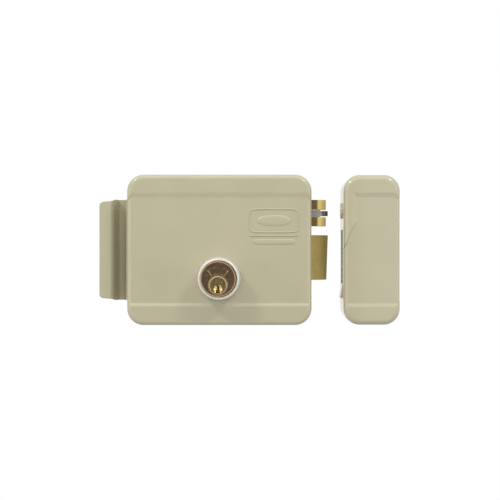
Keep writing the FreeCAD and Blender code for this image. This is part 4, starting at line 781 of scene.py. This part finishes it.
def blade_steel(colour, nose):
    """Hardened steel: pale and ground along its length, with its rounded nose painted darker as
    painted shade.
    """
    finish = Finish("blade_steel", colour, 0.8, 0.42)
    lines = finish.noise(0.25 * MM, 3.0, (1, 14, 14))
    pale = finish.colours(lines, scaled(colour, 0.85), colour)
    # Painted shade on the nose
    shaded_nose = finish.colours(lines, scaled(colour, 0.2), scaled(colour, 0.34))
    past_nose = finish.along_x(nose - 0.7 * MM, nose + 0.5 * MM)
    finish.paint(finish.mixed(pale, shaded_nose, factor=past_nose))
    finish.roughen(finish.between(lines, 0.38, 0.5))
    finish.bump(lines, 0.004 * MM, 0.6)
    return finish.material


def moulded_plastic(name, colour, roughness):
    """Moulded plastic with a fine spark-eroded skin."""
    finish = Finish(name, colour, 0.0, roughness)
    cloud = finish.noise(5 * MM, 2.0)
    finish.paint(finish.colours(cloud, scaled(colour, 0.93), colour))
    finish.roughen(finish.between(finish.noise(1.5 * MM), roughness - 0.05, roughness + 0.08))
    finish.bump(finish.noise(0.35 * MM, 2.0), 0.01 * MM, 0.5)
    return finish.material


def lacquered_copper(colour):
    """Copper wire under lacquer, a little redder and duller from place to place."""
    finish = Finish("lacquered_copper", colour, 1.0, 0.3)
    finish.paint(finish.colours(finish.noise(2 * MM, 3.0), scaled(colour, 0.7), colour))
    finish.roughen(finish.between(finish.noise(1 * MM), 0.24, 0.4))
    return finish.material


def dress(names, material):
    """Gives CAD nodes their finish through their own material slot."""
    for name in names:
        if name not in NODES:
            raise RuntimeError(f"the frame has no node {name}")
        mesh = NODES[name].data
        mesh.materials.clear()
        mesh.materials.append(material)


# Operators


class LockOperator(bpy.types.Operator):
    """Base of the lock's operators"""

    bl_options = {"REGISTER", "UNDO"}


class GATELOCK_OT_enamel(LockOperator):
    """Coat the case, the pull and the strike box with baked enamel"""

    bl_idname = "gate_lock.enamel"
    bl_label = "Enamel the sheet metal"

    def execute(self, context):
        material = enamel(context.scene.gate_lock_enamel)
        dress(["cover", "pull_handle", "strike_cover"], material)
        return {"FINISHED"}


class GATELOCK_OT_emblem(LockOperator):
    """Emboss the plain plate on the front of the case"""

    bl_idname = "gate_lock.emblem"
    bl_label = "Emboss the plate"

    def execute(self, context):
        settings = context.scene.gate_lock_emblem
        material = bpy.data.materials.get("enamel")
        if material is None:
            raise RuntimeError("the enamel comes before the embossing")
        width, height, lift = settings.width, settings.height, settings.lift
        ridge = settings.ridge / 2
        panel = COVER_FRONT + PANEL_DEPTH
        middle = Vector((settings.centre_x, panel, settings.top - height / 2))
        ring = ridge_ring("emblem_frame", middle, width / 2, height / 2, FRAME_SQUARENESS, ridge, lift)
        oval_size = (width * OVAL_WIDTH_SHARE, height * OVAL_HEIGHT_SHARE)
        oval = low_pad("emblem_oval", middle, *oval_size, OVAL_SQUARENESS, lift)
        line_place = middle - Vector((0, 0, height / 2 + LINE_GAP))
        line = low_pad("emblem_line", line_place, width / 2, ridge, BAR_SQUARENESS, lift)
        bar_place = line_place - Vector((0, 0, BAR_GAP))
        bar_size = (width * BAR_WIDTH_SHARE, BAR_HALF_HEIGHT)
        bar = low_pad("emblem_bar", bar_place, *bar_size, BAR_SQUARENESS, lift)
        for mesh in (ring, oval, line, bar):
            add_piece(mesh.name, mesh, "lock_body", material)
        return {"FINISHED"}


class GATELOCK_OT_brass(LockOperator):
    """Finish the latch bolt and the cocking plunger in brass"""

    bl_idname = "gate_lock.brass"
    bl_label = "Brass bolt and plunger"

    def execute(self, context):
        brass = tuple(context.scene.gate_lock_metal.brass)
        milled = satin_brass("milled_brass", scaled(brass, 0.92), 0.2, 0.5, (12, 12, 1))
        dress(["latch_bolt"], milled)
        dress(["cocking_plunger"], plunger_brass(brass, PLUNGER_TIP - PLUNGER_NOSE))
        return {"FINISHED"}


class GATELOCK_OT_cylinder(LockOperator):
    """Finish the key cylinder, its plug and its collar"""

    bl_idname = "gate_lock.cylinder"
    bl_label = "Key cylinder"

    def execute(self, context):
        metals = context.scene.gate_lock_metal
        brass = tuple(metals.cylinder_brass)
        middle = (Vector(CYLINDER_LOW) + Vector(CYLINDER_HIGH)) / 2
        radius = (CYLINDER_HIGH[0] - CYLINDER_LOW[0]) / 2
        dress(["cylinder_body"], cylinder_brass(brass, middle, radius))
        plug = Vector((middle[0], 0, PLUG_TOP - PLUG_RADIUS))
        dress(["cylinder_plug"], plug_brass(tuple(metals.plug_brass), plug, PLUG_RADIUS))
        dress(["cylinder_collar"], satin_nickel(tuple(metals.nickel), 0.46))
        return {"FINISHED"}


class GATELOCK_OT_plated(LockOperator):
    """Finish the plated sheets, screws, rivets and the strike's keeper"""

    bl_idname = "gate_lock.plated"
    bl_label = "Zinc plating"

    def execute(self, context):
        zinc = tuple(context.scene.gate_lock_metal.zinc)
        sheets = ["base_plate", "slide_frame", "coil_frame", "strike_base", "strike_keeper"]
        inner = ["bolt_tail", "release_lever", "hold_catch", "key_cam", "cylinder_clip"]
        dress(sheets + inner, plated_steel("zinc_sheet", zinc, 0.34))
        screws = ["cover_screws", "frame_screws", "coil_screws", "terminal_screws", "cam_screw"]
        fixings = ["strike_cover_screws", "keeper_screws", "handle_rivets", "tail_rivets"]
        dress(screws + fixings, plated_steel("zinc_fixing", scaled(zinc, 0.9), 0.26))
        return {"FINISHED"}


class GATELOCK_OT_steel(LockOperator):
    """Finish the trigger blade, the pins, the posts, the springs and the coil's iron"""

    bl_idname = "gate_lock.steel"
    bl_label = "Bare and spring steel"

    def execute(self, context):
        steel = tuple(context.scene.gate_lock_metal.steel)
        dress(["trigger_blade"], blade_steel(steel, BLADE_TIP - BLADE_NOSE))
        pins = ["tail_pin", "trigger_pin", "lever_post", "catch_post", "armature_pin"]
        dress(pins, rolled_steel("turned_steel", steel, 0.22, (1, 1, 10)))
        springs = ["bolt_spring", "plunger_springs", "trigger_spring", "retaining_clips"]
        dress(springs, rolled_steel("spring_steel", scaled(steel, 0.5), 0.3, (1, 1, 1)))
        iron = rolled_steel("soft_iron", scaled(steel, 0.45), 0.42, (1, 8, 8))
        dress(["armature", "coil_core"], iron)
        return {"FINISHED"}


def fit_spring(node, wire, turns, material):
    """Puts coils of wire in the place of a node's springs and hides the node; a node as tall as two
    springs holds one at its foot and one at its top."""
    low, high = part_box(node)
    reach = (high[1] - low[1]) / 2
    middles = sorted({round(low[2] + reach, PLACE_DIGITS), round(high[2] - reach, PLACE_DIGITS)})
    meshes = [coil_spring("turns", low, high, middle, wire, turns) for middle in middles]
    name = f"{node}_wire"
    piece = add_piece(name, joined(name, meshes), "lock_body", material)
    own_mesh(piece)
    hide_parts(node)


class GATELOCK_OT_springs(LockOperator):
    """Wind the springs behind the latch bolt, the plunger and the trigger blade"""

    bl_idname = "gate_lock.springs"
    bl_label = "Springs"

    def execute(self, context):
        settings = context.scene.gate_lock_springs
        material = bpy.data.materials.get("spring_steel")
        if material is None:
            raise RuntimeError("the steel comes before the springs")
        turns = settings.turns
        fit_spring("bolt_spring", settings.bolt_wire, turns, material)
        fit_spring("plunger_springs", settings.plunger_wire, turns, material)
        fit_spring("trigger_spring", settings.trigger_wire, turns, material)
        return {"FINISHED"}


class GATELOCK_OT_coil(LockOperator):
    """Wind the coil and finish its bobbin, the terminals, the leads and the grommet"""

    bl_idname = "gate_lock.coil"
    bl_label = "Coil and wiring"

    def execute(self, context):
        settings = context.scene.gate_lock_coil
        copper = lacquered_copper(tuple(context.scene.gate_lock_metal.copper))
        pitch, points = settings.wire_pitch, settings.turn_points
        mesh = wound_coil("coil_turns", WINDING_LOW, WINDING_HIGH, pitch, points)
        turns = add_piece("coil_turns", mesh, "lock_body", copper)
        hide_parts("coil_winding")
        dress(["coil_winding"], copper)
        dress(["coil_bobbin"], moulded_plastic("bobbin_nylon", srgb(226, 220, 202), 0.45))
        dress(["terminal_block"], moulded_plastic("terminal_nylon", srgb(40, 42, 44), 0.5))
        dress(["coil_leads"], moulded_plastic("lead_cover", srgb(176, 34, 30), 0.35))
        dress(["wire_grommet"], moulded_plastic("grommet_rubber", srgb(36, 36, 36), 0.6))
        return {"FINISHED"}


class GATELOCK_OT_studio(LockOperator):
    """Set up the white studio: floor, lamps and camera"""

    bl_idname = "gate_lock.studio"
    bl_label = "Studio"

    def execute(self, context):
        settings = context.scene.gate_lock_studio
        make_room(settings)
        make_floor(settings)
        for name, (place, size, strength) in LAMPS.items():
            lamp = make_lamp(name, place, size, getattr(settings, strength))
            lamp.visible_glossy = name != "level_lamp"
        make_screen()
        make_camera(settings)
        context.scene.view_settings.view_transform = "Standard"
        return {"FINISHED"}


# Studio


def seen_directly(tree):
    """One where the ray comes from the camera, a mirror or a clear piece, and else zero."""
    path = tree.nodes.new("ShaderNodeLightPath")
    largest = path.outputs["Is Camera Ray"]
    for kind in ("Is Glossy Ray", "Is Transmission Ray"):
        node = tree.nodes.new("ShaderNodeMath")
        node.operation = "MAXIMUM"
        tree.links.new(largest, node.inputs[0])
        tree.links.new(path.outputs[kind], node.inputs[1])
        largest = node.outputs["Value"]
    return largest


def make_room(settings):
    """A white room: white where it is seen, softer where it only lights the lock."""
    world = bpy.data.worlds.new("white_room")
    world.use_nodes = True
    tree = world.node_tree
    light = tree.nodes["Background"]
    light.inputs["Color"].default_value = WHITE
    light.inputs["Strength"].default_value = settings.room_light
    seen = tree.nodes.new("ShaderNodeBackground")
    seen.inputs["Color"].default_value = WHITE
    seen.inputs["Strength"].default_value = 1.0
    mix = tree.nodes.new("ShaderNodeMixShader")
    tree.links.new(seen_directly(tree), mix.inputs["Fac"])
    tree.links.new(light.outputs["Background"], mix.inputs[1])
    tree.links.new(seen.outputs["Background"], mix.inputs[2])
    tree.links.new(mix.outputs["Shader"], tree.nodes["World Output"].inputs["Surface"])
    bpy.context.scene.world = world


def floor_finish(settings):
    """Pale matt floor that fades to the white of the room away from the lock, and
    that gives the lock less light than it shows."""
    material = bpy.data.materials.new("pale_floor")
    material.use_nodes = True
    tree = material.node_tree
    shown = tree.nodes["Principled BSDF"]
    shown.inputs["Base Color"].default_value = (SHOWN_FLOOR, SHOWN_FLOOR, SHOWN_FLOOR, 1)
    shown.inputs["Roughness"].default_value = MATT_ROUGHNESS
    shown.inputs["Emission Color"].default_value = WHITE
    shown.inputs["Emission Strength"].default_value = SHOWN_GLOW
    lent = tree.nodes.new("ShaderNodeBsdfDiffuse")
    share = settings.floor_return
    lent.inputs["Color"].default_value = (share, share, share, 1)
    matt = tree.nodes.new("ShaderNodeMixShader")
    seen = seen_directly(tree)
    tree.links.new(seen, matt.inputs["Fac"])
    tree.links.new(lent.outputs["BSDF"], matt.inputs[1])
    tree.links.new(shown.outputs["BSDF"], matt.inputs[2])
    white = tree.nodes.new("ShaderNodeMapRange")
    white.inputs["To Min"].default_value = settings.room_light
    white.inputs["To Max"].default_value = 1.0
    tree.links.new(seen, white.inputs["Value"])
    glow = tree.nodes.new("ShaderNodeEmission")
    glow.inputs["Color"].default_value = WHITE
    tree.links.new(white.outputs["Result"], glow.inputs["Strength"])
    place = tree.nodes.new("ShaderNodeTexCoord")
    length = tree.nodes.new("ShaderNodeVectorMath")
    length.operation = "LENGTH"
    fade = tree.nodes.new("ShaderNodeMapRange")
    fade.interpolation_type = "SMOOTHSTEP"
    fade.inputs["From Min"].default_value = FADE_START
    fade.inputs["From Max"].default_value = FADE_END
    mix = tree.nodes.new("ShaderNodeMixShader")
    tree.links.new(place.outputs["Object"], length.inputs[0])
    tree.links.new(length.outputs["Value"], fade.inputs["Value"])
    tree.links.new(fade.outputs["Result"], mix.inputs["Fac"])
    tree.links.new(matt.outputs["Shader"], mix.inputs[1])
    tree.links.new(glow.outputs["Emission"], mix.inputs[2])
    tree.links.new(mix.outputs["Shader"], tree.nodes["Material Output"].inputs["Surface"])
    return material


def make_floor(settings):
    """A round floor below the lock."""
    turn = np.linspace(0, 2 * np.pi, 96, endpoint=False)[:, None]
    radius = np.linspace(0, FLOOR_RADIUS, 12)[None, :]
    level = 0 * radius * turn - settings.floor_drop
    points = np.stack([radius * np.cos(turn), radius * np.sin(turn), level], -1)
    mesh = mesh_from_grid("floor", points, True, False)
    floor = bpy.data.objects.new("floor", mesh)
    bpy.context.scene.collection.objects.link(floor)
    mesh.materials.append(floor_finish(settings))


def make_lamp(name, place, size, power):
    """A soft rectangular lamp aimed at the middle of the lock."""
    data = bpy.data.lights.new(name, "AREA")
    data.shape = "RECTANGLE"
    data.size, data.size_y = size
    data.energy = power
    lamp = bpy.data.objects.new(name, data)
    lamp.location = place
    lamp.rotation_euler = (-Vector(place)).to_track_quat("-Z", "Y").to_euler()
    lamp.visible_camera = False
    bpy.context.scene.collection.objects.link(lamp)
    return lamp


def make_screen():
    """A dark screen behind the camera that shows only in what mirrors it."""
    across = np.linspace(*SCREEN_SIDES, 2)[:, None]
    up = np.linspace(*SCREEN_HEIGHTS, 2)[None, :]
    points = np.stack([across + 0 * up, 0 * across * up + SCREEN_Y, up + 0 * across], -1)
    mesh = mesh_from_grid("dark_screen", points)
    material = bpy.data.materials.new("dark_screen")
    material.use_nodes = True
    shader = material.node_tree.nodes["Principled BSDF"]
    shader.inputs["Base Color"].default_value = SCREEN_COLOUR
    shader.inputs["Roughness"].default_value = MATT_ROUGHNESS
    mesh.materials.append(material)
    screen = bpy.data.objects.new("dark_screen", mesh)
    screen.visible_camera = False
    screen.visible_diffuse = False
    screen.visible_shadow = False
    bpy.context.scene.collection.objects.link(screen)


def make_camera(settings):
    """The camera level in front of the lock, looking along +Y."""
    data = bpy.data.cameras.new("camera")
    place = Vector(settings.camera_place)
    distance = COVER_FRONT - place[1]
    data.sensor_width = SENSOR
    data.lens = SENSOR * distance / settings.view_width
    data.clip_start = NEAR_CLIP
    data.clip_end = FAR_CLIP
    camera = bpy.data.objects.new("camera", data)
    camera.location = place
    camera.rotation_euler = (math.radians(90), 0, 0)
    bpy.context.scene.collection.objects.link(camera)
    bpy.context.scene.camera = camera


# Sidebar


class GATELOCK_PT_sidebar(bpy.types.Panel):
    """The lock's finishes, in the order in which they are put on"""

    bl_label = "Gate Lock"
    bl_idname = "GATELOCK_PT_sidebar"
    bl_space_type = "VIEW_3D"
    bl_region_type = "UI"
    bl_category = "Gate Lock"

    def draw(self, context):
        for prop, group in SETTINGS.items():
            box = self.layout.box()
            box.label(text=group.bl_rna.name)
            settings = getattr(context.scene, prop)
            for name in group.__annotations__:
                box.prop(settings, name)
        for operator in OPERATORS:
            self.layout.operator(operator.bl_idname)


SETTINGS = {
    "gate_lock_enamel": EnamelSettings,
    "gate_lock_metal": MetalSettings,
    "gate_lock_emblem": EmblemSettings,
    "gate_lock_coil": CoilSettings,
    "gate_lock_springs": SpringSettings,
    "gate_lock_studio": StudioSettings,
}

OPERATORS = [
    GATELOCK_OT_enamel,
    GATELOCK_OT_emblem,
    GATELOCK_OT_brass,
    GATELOCK_OT_cylinder,
    GATELOCK_OT_plated,
    GATELOCK_OT_steel,
    GATELOCK_OT_springs,
    GATELOCK_OT_coil,
    GATELOCK_OT_studio,
]


def register():
    """Tells Blender the settings, the operators and the panel."""
    for prop, group in SETTINGS.items():
        bpy.utils.register_class(group)
        setattr(bpy.types.Scene, prop, PointerProperty(type=group))
    for operator in OPERATORS:
        bpy.utils.register_class(operator)
    bpy.utils.register_class(GATELOCK_PT_sidebar)


def unregister():
    """Takes away what register adds."""
    bpy.utils.unregister_class(GATELOCK_PT_sidebar)
    for operator in reversed(OPERATORS):
        bpy.utils.unregister_class(operator)
    for prop, group in reversed(SETTINGS.items()):
        delattr(bpy.types.Scene, prop)
        bpy.utils.unregister_class(group)


def main():
    """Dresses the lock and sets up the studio."""
    register()
    bpy.ops.gate_lock.enamel()
    bpy.ops.gate_lock.emblem()
    bpy.ops.gate_lock.brass()
    bpy.ops.gate_lock.cylinder()
    bpy.ops.gate_lock.plated()
    bpy.ops.gate_lock.steel()
    bpy.ops.gate_lock.springs()
    bpy.ops.gate_lock.coil()
    bpy.ops.gate_lock.studio()


if __name__ == "__main__":
    main()
